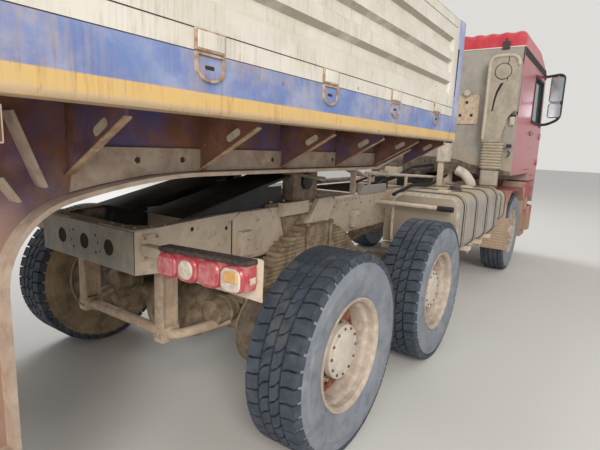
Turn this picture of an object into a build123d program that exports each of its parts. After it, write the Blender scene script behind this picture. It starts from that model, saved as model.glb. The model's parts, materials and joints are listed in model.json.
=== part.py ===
from build123d import *
import os
from math import cos, pi, radians, sin

# An articulated lorry: a 6x4 cab-over tractor and the drop-side semi-trailer coupled to its fifth wheel.
# Millimetres. +X is forwards, +Y is the lorry's left, +Z is up. The origin is on the ground, at half of the
# lorry's length.

# Driving lengths along the lorry
front_overhang = 1470.0
wheelbase = 3375.0
tandem_spacing = 1400.0
tail_overhang = 720.0
kingpin_setback = 700.0
trailer_length = 12000.0
hinge_radius = 9.0
hinge_out = 12.0
total_length = (
    front_overhang
    + wheelbase
    + tandem_spacing / 2
    + trailer_length
    - kingpin_setback
    + hinge_out
    + hinge_radius
)

# Places along the lorry that follow from them
nose_x = total_length / 2
front_axle_x = nose_x - front_overhang
drive_axle_x = front_axle_x - wheelbase
rear_axle_x = drive_axle_x - tandem_spacing
kingpin_x = rear_axle_x + tandem_spacing / 2
tail_x = rear_axle_x - tail_overhang
trailer_front_x = kingpin_x + kingpin_setback
trailer_rear_x = trailer_front_x - trailer_length

# Fits between pieces
seat_gap = 0.3
swing_gap = 6.0
bearing_gap = 0.05

# Wheels
tyre_radius = 535.0
tyre_width = 314.0
tread_width = 260.0
bead_width = 256.0
bulge_radius = 430.0
bore_radius = 292.0
wheel_sides = 24
bar_sides = 12
axle_height = tyre_radius
rim_wall = 14.0
disc_wall = 16.0
hub_radius = 135.0
cap_radius = 95.0
spindle_radius = 50.0
dual_spacing = 350.0
drum_radius = 218.0
drum_depth = 310.0
drum_wall = 18.0
drive_track = 1860.0
leaf_pack_top = 1025.0
front_track = 2050.0
trailer_track = 1812.0
steer_axis_y = 920.0

# Tractor frame
rail_half_width = 430.0
rail_flange = 80.0
rail_wall = 10.0
rail_top = 1190.0
rail_foot = 890.0
tail_top = 1165.0
tail_foot = 955.0
tail_taper = 560.0
frame_front_x = front_axle_x + 1180.0
guard_bar_x = rear_axle_x + 1880.0
member_wall = 8.0
member_depth = 90.0

# Coupling and trailer
coupling_height = 1465.0
coupling_gap = 0.5
kingpin_radius = 25.4
beam_y = 880.0
beam_flange_width = 130.0
beam_flange = 16.0
beam_web = 12.0
neck_sweep_radius = 2200.0
neck_sweep = radians(13.5)
neck_corner_radius = 240.0
neck_drop_x = kingpin_x - 2160.0
nose_start_x = kingpin_x + 62.0
nose_rise = 133.0
beam_foot = 690.0
beam_tail_foot = 1190.0
beam_rise = (kingpin_x - 5200.0, kingpin_x - 6600.0)
side_rail_foot = 1670.0
deck_top = 1840.0
deck_thickness = 30.0
half_width = 1250.0
side_rail_flange = 60.0
side_rail_wall = 8.0
member_pitch = 520.0

# Trailer sides
board_top = 2470.0
board_depth = 52.0
groove_depth = 26.0
groove_height = 85.0
groove_drops = (136.0, 274.0, 411.0)
post_width = 130.0
middle_post_width = 80.0
hinge_y = half_width + hinge_out
hinge_z = deck_top - 4.0
hinge_share = (0.12, 0.5, 0.88)
section_ends = (0.0, 3900.0, 8050.0, trailer_length)

# Trailer bogie
trailer_axle_spacing = 1320.0
trailer_bogie_x = kingpin_x - 8300.0

# Cab: places along it are measured forwards from the front axle
cab_half_width = 1200.0
cab_wall = 60.0
cab_rear = -725.0
cab_front = 1400.0
cab_floor = 1340.0
footwell_floor = 1225.0
footwell_start = 620.0
roof_edge = 2860.0
roof_top = 3035.0
screen_foot = (1370.0, 1950.0)
screen_head = (1190.0, 2860.0)
screen_sill = 1990.0
screen_top = 2730.0
screen_half_width = 1050.0
door_front = 1250.0
door_axis = (1262.0, 1212.0)
skirt_foot = 865.0
skirt_wall = 50.0
tilt_axis = (1300.0, 960.0)
door_hinges = (1440.0, 1840.0)
door_barrel = 11.0

os.makedirs("parts", exist_ok=True)


def save(built, name):
    """Labels a finished piece and writes it."""
    built.part.label = name
    export_step(built.part, f"parts/{name}.step")


def save_pair(built, stem):
    """Writes a piece made for the left side, and its mirror image for the right."""
    save(built, f"{stem}_left")
    with BuildPart() as other:
        add(mirror(built.part, about=Plane.XZ))
    save(other, f"{stem}_right")


def block(x, y, z, mode=Mode.ADD):
    """A box between two values along each axis."""
    with Locations(((x[0] + x[1]) / 2, (y[0] + y[1]) / 2, (z[0] + z[1]) / 2)):
        Box(abs(x[1] - x[0]), abs(y[1] - y[0]), abs(z[1] - z[0]), mode=mode)


def rod(start, end, radius, mode=Mode.ADD):
    """A round bar from one point to another."""
    run = Vector(*end) - Vector(*start)
    with Locations(Plane(origin=start, z_dir=run)):
        Cylinder(radius, run.length, align=(Align.CENTER, Align.CENTER, Align.MIN), mode=mode)


def plate(outline, y, mode=Mode.ADD):
    """A plate with an outline of (x, z) points, between two values of y."""
    with BuildSketch(Plane.XZ.offset(-min(y))) as flat:
        Polygon(*outline, align=None)
    extrude(flat.sketch, amount=-abs(y[1] - y[0]), mode=mode)


def bar(outline, x, mode=Mode.ADD):
    """A bar along the lorry with an outline of (y, z) points, between two values of x."""
    with BuildSketch(Plane.YZ.offset(min(x))) as flat:
        Polygon(*outline, align=None)
    extrude(flat.sketch, amount=abs(x[1] - x[0]), mode=mode)


def slab(outline, z, mode=Mode.ADD):
    """A slab with an outline of (x, y) points, between two heights."""
    with BuildSketch(Plane.XY.offset(min(z))) as flat:
        Polygon(*outline, align=None)
    extrude(flat.sketch, amount=abs(z[1] - z[0]), mode=mode)


def on_both(side, values):
    """A pair of y values, carried to the given side."""
    return tuple(side * value for value in values)


def round_bar(start, end, radius, sides=bar_sides, mode=Mode.ADD):
    """A many-sided bar from one point to another, for round parts that carry nothing on their sides."""
    run = Vector(*end) - Vector(*start)
    with BuildSketch(Plane(origin=start, z_dir=run)) as flat:
        RegularPolygon(radius, sides, major_radius=False)
    extrude(flat.sketch, amount=run.length, mode=mode)


def wheel_prism(y, radius, mode=Mode.ADD, sides=wheel_sides):
    """A many-sided disc on a wheel's axis, flat side down, between two offsets along the axle."""
    plane = Plane(origin=(0, min(y), axle_height), x_dir=(1, 0, 0), z_dir=(0, 1, 0))
    with BuildSketch(plane) as flat:
        RegularPolygon(radius, sides, major_radius=False, rotation=180 / sides)
    extrude(flat.sketch, amount=abs(y[1] - y[0]), mode=mode)


def tyre(y):
    """One tyre as flat bands between rings of corners, with a flat for each tread block."""
    bead, bulge, tread = bead_width / 2, tyre_width / 2, tread_width / 2
    stations = [
        (-bead, bore_radius),
        (-bulge, bulge_radius),
        (-tread, tyre_radius),
        (tread, tyre_radius),
        (bulge, bulge_radius),
        (bead, bore_radius),
    ]
    step = 2 * pi / wheel_sides
    rings = []
    for offset_y, radius in stations:
        corner = radius / cos(step / 2)
        ring = []
        for index in range(wheel_sides):
            turn = (index + 0.5) * step
            ring.append(Vector(corner * sin(turn), y + offset_y, axle_height + corner * cos(turn)))
        rings.append(ring)
    bands = []
    for ring, following in zip(rings, rings[1:] + rings[:1]):
        for index in range(wheel_sides):
            after = (index + 1) % wheel_sides
            corners = [ring[index], ring[after], following[after], following[index]]
            bands.append(Face(Wire.make_polygon(corners, close=True)))
    add(Solid(Shell(bands)))


def place(built, x, y, turned, name):
    """Writes a copy of a wheel piece made at the origin, turned about Z for the right side."""
    with BuildPart() as copy:
        add(built.part.moved(Location((x, y, 0), (0, 0, 180 if turned else 0))))
    save(copy, name)


# Twin tyres on joined rims, with one disc and a stepped hub between them
barrel = bore_radius - seat_gap
with BuildPart() as twin_tyres:
    for way in (-1, 1):
        tyre(way * dual_spacing / 2)
with BuildPart() as twin_rims:
    reach = dual_spacing / 2 + bead_width / 2 + 12
    wheel_prism((-reach, reach), barrel)
    for way in (-1, 1):
        wheel_prism((way * disc_wall / 2, way * (reach + 1)), barrel - rim_wall, Mode.SUBTRACT)
    wheel_prism((-175, 200), hub_radius, sides=bar_sides)
    wheel_prism((199, 255), cap_radius, sides=bar_sides)
    wheel_prism((-176, 190), spindle_radius + bearing_gap, Mode.SUBTRACT, bar_sides)

# A single tyre on a deep dished rim, with its disc inboard and the brake drum behind it
dish = dual_spacing / 2
with BuildPart() as dished_tyre:
    tyre(dish)
with BuildPart() as dished_rim:
    near, far = dish - bead_width / 2 - 12, dish + bead_width / 2 + 12
    wheel_prism((near, far), barrel)
    wheel_prism((near + disc_wall, far + 1), barrel - rim_wall, Mode.SUBTRACT)
    wheel_prism((-drum_depth, near + 1), drum_radius)
    wheel_prism((-drum_depth - 1, near - disc_wall), drum_radius - drum_wall, Mode.SUBTRACT)
    wheel_prism((-175, 200), hub_radius, sides=bar_sides)
    wheel_prism((199, 255), cap_radius, sides=bar_sides)
    wheel_prism((-176, 190), spindle_radius + bearing_gap, Mode.SUBTRACT, bar_sides)

# A steered wheel, with its disc towards the outside
with BuildPart() as front_tyre:
    tyre(0)
with BuildPart() as front_rim:
    reach = bead_width / 2 + 12
    wheel_prism((-reach, reach), barrel)
    for start, end in ((-reach - 1, 95), (95 + disc_wall, reach + 1)):
        wheel_prism((start, end), barrel - rim_wall, Mode.SUBTRACT)
    wheel_prism((-15, 175), hub_radius, sides=bar_sides)
    wheel_prism((-16, 150), spindle_radius + bearing_gap, Mode.SUBTRACT, bar_sides)

sides = (("left", 1), ("right", -1))
driven = ("", dished_tyre, dished_rim)
twin = ("s", twin_tyres, twin_rims)
axles = (
    # name, place along, track, name's ending with its tyre and rim
    ("drive_front", drive_axle_x, drive_track, driven),
    ("drive_rear", rear_axle_x, drive_track, driven),
    ("trailer_front", trailer_bogie_x + trailer_axle_spacing / 2, trailer_track, twin),
    ("trailer_rear", trailer_bogie_x - trailer_axle_spacing / 2, trailer_track, twin),
)
for side_name, side in sides:
    turned = side < 0
    y = side * front_track / 2
    place(front_tyre, front_axle_x, y, turned, f"front_{side_name}_tyre")
    place(front_rim, front_axle_x, y, turned, f"front_{side_name}_rim")
    for axle_name, axle_x, track, (ending, tyres, rims) in axles:
        y = side * track / 2
        place(tyres, axle_x, y, turned, f"{axle_name}_{side_name}_tyre{ending}")
        place(rims, axle_x, y, turned, f"{axle_name}_{side_name}_rim{ending}")

# Front axle: beam, springs, and a knuckle on each end
with BuildPart() as front_axle:
    x = front_axle_x
    block((x - 45, x + 45), (-700, 700), (455, 545))
    for _, side in sides:
        plate([(x - 45, 455), (x + 45, 455), (x + 45, 545), (x - 45, 545)], on_both(side, (690, 800)))
        rod((x, side * steer_axis_y, 470), (x, side * steer_axis_y, 560), 45)
        block((x - 40, x + 40), on_both(side, (790, 910)), (470, 545))
        leaf = [
            (x - 780, 760),
            (x - 300, 660),
            (x - 120, 600),
            (x + 120, 600),
            (x + 300, 660),
            (x + 780, 760),
            (x + 780, 776),
            (x, 690),
            (x - 780, 776),
        ]
        plate(leaf, on_both(side, (345, 425)))
        block((x - 110, x + 110), on_both(side, (335, 435)), (545, 610))
        for end in (-780, 780):
            block((x + end - 40, x + end + 40), on_both(side, (350, 420)), (740, rail_foot - seat_gap))
        rod(
            (x, side * steer_axis_y, 469),
            (x, side * steer_axis_y, 561),
            22 + bearing_gap,
            mode=Mode.SUBTRACT,
        )
save(front_axle, "front_axle")

with BuildPart() as knuckle:
    x = front_axle_x
    block((x - 60, x + 60), (972, 1002), (400, 630))
    for low, high in ((400, 464), (566, 630)):
        block((x - 45, x + 45), (875, 980), (low, high))
    rod((x, steer_axis_y, 400), (x, steer_axis_y, 630), 22)
    rod((x, 1000, axle_height), (x, 1160, axle_height), spindle_radius)
save_pair(knuckle, "knuckle")

# Drive bogie: two axles on rocking leaf springs
with BuildPart() as drive_bogie:
    for x in (drive_axle_x, rear_axle_x):
        rod((x, -1110, axle_height), (x, 1110, axle_height), spindle_radius)
        round_bar((x, -730, axle_height), (x, 730, axle_height), 72)
        round_bar((x, -95, axle_height), (x, 95, axle_height), 215, 16)
        for _, side in sides:
            block((x - 70, x + 70), on_both(side, (450, 550)), (580, 668))
    round_bar((rear_axle_x + 150, 0, 590), (drive_axle_x - 150, 0, 590), 45)
    round_bar((drive_axle_x + 150, 0, 600), (front_axle_x - 1180, 0, 780), 45)
    for _, side in sides:
        leaf = [
            (kingpin_x - 790, 700),
            (kingpin_x - 790, 668),
            (kingpin_x + 790, 668),
            (kingpin_x + 790, 700),
            (kingpin_x + 600, 770),
            (kingpin_x + 390, 940),
            (kingpin_x + 180, leaf_pack_top),
            (kingpin_x - 180, leaf_pack_top),
            (kingpin_x - 390, 940),
            (kingpin_x - 600, 770),
        ]
        plate(leaf, on_both(side, (455, 545)))
        block((kingpin_x - 190, kingpin_x + 190), on_both(side, (450, 550)), (620, leaf_pack_top + 25))
        plate(
            [
                (kingpin_x - 320, 1160),
                (kingpin_x + 320, 1160),
                (kingpin_x + 160, 640),
                (kingpin_x - 160, 640),
            ],
            on_both(side, (rail_half_width + seat_gap, 450)),
        )
    round_bar((kingpin_x, -470, 700), (kingpin_x, 470, 700), 50)
save(drive_bogie, "drive_bogie")

# Tractor frame
with BuildPart() as chassis_frame:
    rail = [
        (tail_x, tail_foot),
        (tail_x + tail_taper, rail_foot),
        (frame_front_x, rail_foot),
        (frame_front_x, rail_top),
        (tail_x + tail_taper, rail_top),
        (tail_x, tail_top),
    ]
    hollow = [
        (tail_x - 1, tail_foot + rail_wall),
        (tail_x + tail_taper, rail_foot + rail_wall),
        (frame_front_x + 1, rail_foot + rail_wall),
        (frame_front_x + 1, rail_top - rail_wall),
        (tail_x + tail_taper, rail_top - rail_wall),
        (tail_x - 1, tail_top - rail_wall),
    ]
    for _, side in sides:
        inner = rail_half_width - rail_flange
        plate(rail, on_both(side, (inner, rail_half_width)))
        plate(hollow, on_both(side, (inner - 1, rail_half_width - rail_wall)), mode=Mode.SUBTRACT)
    inside = rail_half_width - rail_wall
    member_places = (
        tail_x + 700,
        kingpin_x - 250,
        kingpin_x + 250,
        drive_axle_x + 330,
        front_axle_x - 1800,
        front_axle_x - 1260,
    )
    for x in member_places:
        block((x, x + member_wall), (-inside, inside), (rail_foot + 30, rail_top - rail_wall))
        for low in (rail_foot + 30, rail_top - rail_wall - member_wall):
            block((x, x + member_depth), (-inside, inside), (low, low + member_wall))
    # The rear member has its back to the rear, with three large holes between small ones
    block((tail_x, tail_x + member_wall), (-inside, inside), (tail_foot, tail_top))
    for low in (tail_foot, tail_top - member_wall):
        block((tail_x, tail_x + member_depth), (-inside, inside), (low, low + member_wall))
    middle = (tail_foot + tail_top) / 2
    for y in (-220, 0, 220):
        round_bar((tail_x - 1, y, middle), (tail_x + 20, y, middle), 42, mode=Mode.SUBTRACT)
    for y in (-80, 80):
        for z in (middle - 50, middle + 50):
            rod((tail_x - 1, y, z), (tail_x + 20, y, z), 10.5, mode=Mode.SUBTRACT)
    block((frame_front_x - 60, frame_front_x), (-inside, inside), (rail_foot, rail_top - 60))
    for _, side in sides:
        gusset = [(tail_x, side * 140), (tail_x, side * inside), (tail_x + 240, side * inside)]
        slab(gusset, (tail_top - 24, tail_top - 14))
        # Bar for the mudflap ahead of the drive wheels
        round_bar((guard_bar_x, side * (rail_half_width - 5), 1110), (guard_bar_x, side * 1150, 1110), 21)
    for _, side in sides:
        # Cab pivot bracket at the front and rest at the back
        pivot_x, pivot_z = front_axle_x + tilt_axis[0], tilt_axis[1]
        block((frame_front_x - 120, pivot_x), on_both(side, (430, 460)), (pivot_z - 38, pivot_z + 38))
        round_bar((pivot_x, side * 430, pivot_z), (pivot_x, side * 460, pivot_z), 38)
        rod((pivot_x, side * 440, pivot_z), (pivot_x, side * 520, pivot_z), 25)
        rest = front_axle_x - 560
        block((rest - 60, rest + 60), on_both(side, (350, 430)), (rail_top - 10, cab_floor - 8))
save(chassis_frame, "chassis_frame")

# Fifth wheel on its pedestals
with BuildPart() as fifth_wheel:
    top = coupling_height - coupling_gap
    outline = [
        (kingpin_x + 330, 330),
        (kingpin_x + 430, 150),
        (kingpin_x + 430, -150),
        (kingpin_x + 330, -330),
        (kingpin_x + 100, -450),
        (kingpin_x - 200, -450),
        (kingpin_x - 470, -300),
        (kingpin_x - 470, -120),
        (kingpin_x - 60, -kingpin_radius - 4),
        (kingpin_x - 60, kingpin_radius + 0.5),
        (kingpin_x - 470, 120),
        (kingpin_x - 470, 300),
        (kingpin_x - 200, 450),
        (kingpin_x + 100, 450),
    ]
    slab(outline, (top - 45, top))
    for _, side in sides:
        block((kingpin_x - 150, kingpin_x + 150), on_both(side, (330, 425)), (1215, top - 40))
    block((kingpin_x - 420, kingpin_x + 420), (-428, 428), (rail_top + seat_gap, 1216))
    block((kingpin_x - 61, kingpin_x), (-kingpin_radius - 4, kingpin_radius + 0.5), (top - 60, top + 1), mode=Mode.SUBTRACT)
    rod((kingpin_x, 0, top - 60), (kingpin_x, 0, top + 1), kingpin_radius + 0.5, mode=Mode.SUBTRACT)
save(fifth_wheel, "fifth_wheel")

# Fuel tank on the right, with its straps and brackets, and the smaller tank ahead of it
tank_rear, tank_front = rear_axle_x + 1950, rear_axle_x + 3590
tank_inner, tank_outer = -570.0, -1190.0
tank_foot, tank_top = 700.0, 1215.0


def cushion(y, z, corner):
    """A four-cornered (y, z) outline with each corner cut in three flats."""
    points = []
    for index, (way_y, way_z) in enumerate(((1, 1), (-1, 1), (-1, -1), (1, -1))):
        centre_y = (max(y) - corner) if way_y > 0 else (min(y) + corner)
        centre_z = (max(z) - corner) if way_z > 0 else (min(z) + corner)
        for share in (0, 30, 60, 90):
            turn = radians(90 * index + share)
            points.append((centre_y + corner * cos(turn), centre_z + corner * sin(turn)))
    return points


with BuildPart() as fuel_tank:
    bar(cushion((tank_outer, tank_inner), (tank_foot, tank_top), 100), (tank_rear, tank_front))
    around = cushion((tank_outer - 7, tank_inner + 7), (tank_foot - 7, tank_top + 7), 107)
    for x in (tank_rear + 130, tank_rear + 560, tank_rear + 1010, tank_front - 200):
        bar(around, (x, x + 60))
    for x in (tank_rear + 150, tank_front - 180):
        block((x, x + 40), (tank_inner - 10, -rail_half_width - seat_gap), (tank_foot + 10, 1150))
    round_bar((tank_front - 330, -930, tank_top - 10), (tank_front - 330, -930, tank_top + 50), 48)
save(fuel_tank, "fuel_tank")

with BuildPart() as urea_tank:
    x = tank_front + 20
    bar(cushion((-1190, -780), (800, 1165), 90), (x, x + 315))
    bar(cushion((-1090, -880), (885, 1080), 80), (x - 10, x + 1))
    block((x + 120, x + 180), (-790, -rail_half_width - seat_gap), (930, 1030))
save(urea_tank, "urea_tank")

# Battery box and air reservoirs on the left
with BuildPart() as battery_box:
    block((tank_rear + 20, tank_rear + 760), (560, 1170), (700, 1130))
    block((tank_rear + 60, tank_front - 40), (rail_half_width + seat_gap, 580), (930, 1000))
    for z in (830, 1080):
        round_bar((tank_rear + 740, 760, z), (tank_front, 760, z), 118)
    block((tank_front - 240, tank_front - 200), (rail_half_width + 20, 800), (800, 1120))
save(battery_box, "battery_box")

# Engine, gearbox and radiator as plain forms between the rails
with BuildPart() as engine:
    x = front_axle_x
    block((x - 420, x + 580), (-300, 300), (640, 1255))
    block((x + 570, x + 780), (-300, 300), (640, 1140))
    block((x - 1080, x - 360), (-210, 210), (640, 1060))
    block((x + 960, x + 1060), (-330, 330), (660, 1110))
    for _, side in sides:
        block((x + 60, x + 180), on_both(side, (290, 400)), (rail_foot + rail_wall + seat_gap, 960))
    for y, z in ((-180, 1040), (160, 760)):
        round_bar((x + 770, y, z), (x + 970, y, z), 34)
save(engine, "engine")

# Rear lamps on backing plates, each on a square tube from a plate on the rail
with BuildPart() as tail_lamps:
    for _, side in sides:
        block((tail_x - 50, tail_x + 21), on_both(side, (650, 1170)), (1010, 1155))
        block((tail_x + 20, tail_x + 28), on_both(side, (650, 1192)), (985, 1160))
        block((tail_x + 27, tail_x + 77), on_both(side, (rail_half_width + 5, 680)), (1050, 1100))
        block((tail_x + 20, tail_x + 150), on_both(side, (rail_half_width + seat_gap, 440)), (1030, 1140))
save(tail_lamps, "tail_lamps")

# Underrun guard: hangers of two bars each, a cross tube and two arms
with BuildPart() as underrun_guard:
    tube_x = tail_x + 205
    round_bar((tube_x, -395, 575), (tube_x, 395, 575), 28)
    for _, side in sides:
        for near in (-50, 40):
            hanger = [(tube_x + near, 560), (tube_x + near + 18, 560)]
            for x in (tube_x + near + 18, tube_x + near):
                foot = tail_foot - (tail_foot - rail_foot) * (x - tail_x) / tail_taper
                hanger.append((x, foot - seat_gap))
            plate(hanger, on_both(side, (355, 415)))
        block((tube_x - 50, tube_x + 58), on_both(side, (355, 415)), (560, 590))
        round_bar((tube_x, side * 385, 575), (tube_x + 320, side * 520, 590), 28)
save(underrun_guard, "underrun_guard")


# Bumper with its two lamps let in
with BuildPart() as bumper:
    outline = [
        (nose_x, -900),
        (nose_x, 900),
        (nose_x - 60, 1130),
        (nose_x - 200, 1225),
        (nose_x - 420, 1225),
        (nose_x - 420, 1185),
        (nose_x - 215, 1185),
        (nose_x - 95, 1100),
        (nose_x - 45, 890),
        (nose_x - 45, -890),
        (nose_x - 95, -1100),
        (nose_x - 215, -1185),
        (nose_x - 420, -1185),
        (nose_x - 420, -1225),
        (nose_x - 200, -1225),
        (nose_x - 60, -1130),
    ]
    slab(outline, (430, 810))
    for _, side in sides:
        block((nose_x - 50, nose_x - 8), on_both(side, (560, 860)), (560, 740))
        block((nose_x - 9, nose_x + 1), on_both(side, (560, 860)), (560, 740), mode=Mode.SUBTRACT)
        block((frame_front_x + seat_gap, nose_x - 40), on_both(side, (360, 420)), (740, 800))
        block((frame_front_x + seat_gap, frame_front_x + 20), on_both(side, (360, 420)), (780, 940))
save(bumper, "bumper")

# Wheel arches with mudflaps behind them and steps ahead
with BuildPart() as wheel_arches:
    x = front_axle_x
    outer_arch = [(-660, 640), (-660, 980), (-430, 1135), (400, 1135), (610, 930), (640, 640)]
    inner_arch = [(628, 640), (598, 926), (396, 1123), (-426, 1123), (-648, 974), (-648, 640)]
    arch = [(x + dx, z) for dx, z in outer_arch + inner_arch]
    for _, side in sides:
        plate(arch, on_both(side, (830, 1190)))
        block((x - 668, x - 656), on_both(side, (830, 1230)), (390, 800))
        step = [(x + 640, 380), (x + 1020, 380), (x + 1020, 1205), (x + 628, 1205), (x + 628, 640)]
        plate(step, on_both(side, (880, 1190)))
        for low in (440, 760):
            block((x + 690, x + 970), on_both(side, (1050, 1191)), (low, low + 200), mode=Mode.SUBTRACT)
        block((x - 640, x - 600), on_both(side, (rail_half_width + seat_gap, 840)), (1040, 1080))
        block((x + 700, x + 740), on_both(side, (rail_half_width + seat_gap, 890)), (900, 940))
save(wheel_arches, "wheel_arches")

# Air intake: the tall duct on the cab's back wall, and its bellows and pipe on the frame
duct_x = front_axle_x + cab_rear
duct_depth = 150.0
duct_foot, bellows_foot, pipe_foot = 1730.0, 1410.0, 1190.0
with BuildPart() as air_intake:
    duct_outline = [
        (-835, duct_foot),
        (-1088, duct_foot),
        (-1095, 2000),
        (-1200, 2060),
        (-1200, 2600),
        (-1160, 2700),
        (-1080, 2755),
        (-940, 2755),
        (-860, 2700),
        (-820, 2600),
    ]
    bar(duct_outline, (duct_x - duct_depth, duct_x - seat_gap))
    round_bar((duct_x - duct_depth - 12, -1010, 2560), (duct_x - duct_depth + 10, -1010, 2560), 95, 16)
    slot_y = (-1040, -1010)
    block((duct_x - duct_depth - 1, duct_x - duct_depth + 20), slot_y, (2080, 2380), mode=Mode.SUBTRACT)
save(air_intake, "air_intake")

with BuildPart() as intake_bellows:
    fold_x, fold_y = duct_x - 82, -970.0
    folds = 10
    pitch = (duct_foot - seat_gap - bellows_foot) / folds
    for index in range(folds):
        spread = 0 if index % 2 else 14
        x = (fold_x - 52 - spread, fold_x + 52 + spread)
        low = bellows_foot + index * pitch
        block(x, (fold_y - 115 - spread, fold_y + 115 + spread), (low, low + pitch))
    block((fold_x - 52, fold_x + 52), (fold_y - 100, fold_y + 110), (pipe_foot, bellows_foot))
    block((fold_x + 2, fold_x + 50), (fold_y, fold_y + 100), (1110, pipe_foot + 1))
    block((fold_x + 2, fold_x + 50), (fold_y + 10, -rail_half_width - seat_gap), (1110, 1180))
save(intake_bellows, "intake_bellows")

# Cab shell, hollow, with its windscreen and door openings cut
def cab_point(along, z):
    """A point of the cab's side view, given forwards from the front axle."""
    return (front_axle_x + along, z)


cab_outline = [
    cab_point(cab_rear, cab_floor),
    cab_point(cab_rear, roof_edge),
    cab_point(*screen_head),
    cab_point(*screen_foot),
    cab_point(cab_front, 1850),
    cab_point(cab_front, skirt_foot),
    cab_point(cab_front - skirt_wall, skirt_foot),
    cab_point(cab_front - skirt_wall, footwell_floor),
    cab_point(footwell_start, footwell_floor),
    cab_point(footwell_start, cab_floor),
]
cab_inside = [
    cab_point(cab_rear + cab_wall, cab_floor + cab_wall),
    cab_point(cab_rear + cab_wall, roof_edge + 1),
    cab_point(screen_head[0] - cab_wall, roof_edge + 1),
    cab_point(screen_foot[0] - cab_wall, screen_foot[1]),
    cab_point(cab_front - cab_wall, 1845),
    cab_point(cab_front - cab_wall, footwell_floor + cab_wall),
    cab_point(footwell_start + cab_wall, footwell_floor + cab_wall),
    cab_point(footwell_start + cab_wall, cab_floor + cab_wall),
]
door_outline = [
    cab_point(220, 1400),
    cab_point(690, 1400),
    cab_point(760, 1300),
    cab_point(door_front, 1300),
    cab_point(door_front, 1980),
    cab_point(1110, 2740),
    cab_point(220, 2740),
]
door_window = [
    cab_point(310, 2060),
    cab_point(1170, 2060),
    cab_point(1055, 2660),
    cab_point(310, 2660),
]


def cab_prism(outline, y, grow=0.0, mode=Mode.ADD):
    """A prism across the cab with an (x, z) outline, its edges moved outwards by grow."""
    with BuildSketch(Plane.XZ.offset(-min(y))) as flat:
        Polygon(*outline, align=None)
        if grow:
            offset(amount=grow, kind=Kind.INTERSECTION)
    extrude(flat.sketch, amount=-abs(y[1] - y[0]), mode=mode)


inner_width = cab_half_width - cab_wall
with BuildPart() as cab_shell:
    cab_prism(cab_outline, (-cab_half_width, cab_half_width))
    cab_prism(cab_inside, (-inner_width, inner_width), mode=Mode.SUBTRACT)
    block(
        (front_axle_x + 1150, front_axle_x + cab_front + 10),
        (-screen_half_width, screen_half_width),
        (screen_sill, screen_top),
        mode=Mode.SUBTRACT,
    )
    for _, side in sides:
        cab_prism(door_outline, on_both(side, (inner_width - 1, cab_half_width + 1)), swing_gap, Mode.SUBTRACT)
        pivot_x, pivot_z = front_axle_x + tilt_axis[0], tilt_axis[1]
        ear = [
            (pivot_x - 60, footwell_floor + 5),
            (pivot_x + 60, footwell_floor + 5),
            (pivot_x + 50, pivot_z - 30),
            (pivot_x, pivot_z - 50),
            (pivot_x - 50, pivot_z - 30),
        ]
        plate(ear, on_both(side, (470, 500)))
        hinge_x, barrel_y = front_axle_x + door_axis[0], side * door_axis[1]
        for low in door_hinges:
            rod((hinge_x, barrel_y, low), (hinge_x, barrel_y, low + 50), door_barrel)
            strap = on_both(side, (cab_half_width - 2, cab_half_width + 5))
            block((hinge_x, hinge_x + 50), strap, (low, low + 50))
        rod(
            (pivot_x, side * 465, pivot_z),
            (pivot_x, side * 505, pivot_z),
            25 + bearing_gap,
            mode=Mode.SUBTRACT,
        )
    # Bracket plate with three holes on the back wall
    block((duct_x - 16, duct_x + 1), (-740, -430), (1960, 2310))
    for y, z in ((-590, 2225), (-660, 2065), (-520, 2065)):
        round_bar((duct_x - 17, y, z), (duct_x - 4, y, z), 26, mode=Mode.SUBTRACT)
save(cab_shell, "cab_shell")

with BuildPart() as cab_roof:
    x = front_axle_x
    roof = [
        (x + cab_rear, roof_edge + seat_gap),
        (x + cab_rear, roof_top - 60),
        (x + cab_rear + 60, roof_top),
        (x + 500, roof_top),
        (x + 1120, 2900),
        (x + screen_head[0], roof_edge + seat_gap),
    ]
    room = [
        (x + cab_rear + 40, roof_edge - 1),
        (x + cab_rear + 40, roof_top - 70),
        (x + cab_rear + 70, roof_top - 40),
        (x + 490, roof_top - 40),
        (x + 1090, 2865),
        (x + screen_head[0] - 60, roof_edge - 1),
    ]
    plate(roof, (-cab_half_width, cab_half_width))
    plate(room, (-cab_half_width + 40, cab_half_width - 40), mode=Mode.SUBTRACT)
    rib = [
        (x + cab_rear + 1, roof_edge + 40),
        (x + cab_rear - 10, roof_edge + 50),
        (x + cab_rear - 10, roof_top - 56),
        (x + cab_rear + 56, roof_top + 12),
        (x + 440, roof_top + 12),
        (x + 452, roof_top - 1),
        (x + cab_rear + 60, roof_top - 1),
        (x + cab_rear + 1, roof_top - 60),
    ]
    for y in range(-1080, 1081, 240):
        plate(rib, (y - 45, y + 45))
save(cab_roof, "cab_roof")

with BuildPart() as cab_glass:
    slope = (screen_head[0] - screen_foot[0]) / (screen_head[1] - screen_foot[1])
    low, high = screen_sill + seat_gap, screen_top - seat_gap
    pane = []
    for z, inset in ((low, 24), (high, 24), (high, 34), (low, 34)):
        pane.append((front_axle_x + screen_foot[0] + slope * (z - screen_foot[1]) - inset, z))
    plate(pane, (-screen_half_width + seat_gap, screen_half_width - seat_gap))
save(cab_glass, "cab_glass")

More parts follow.
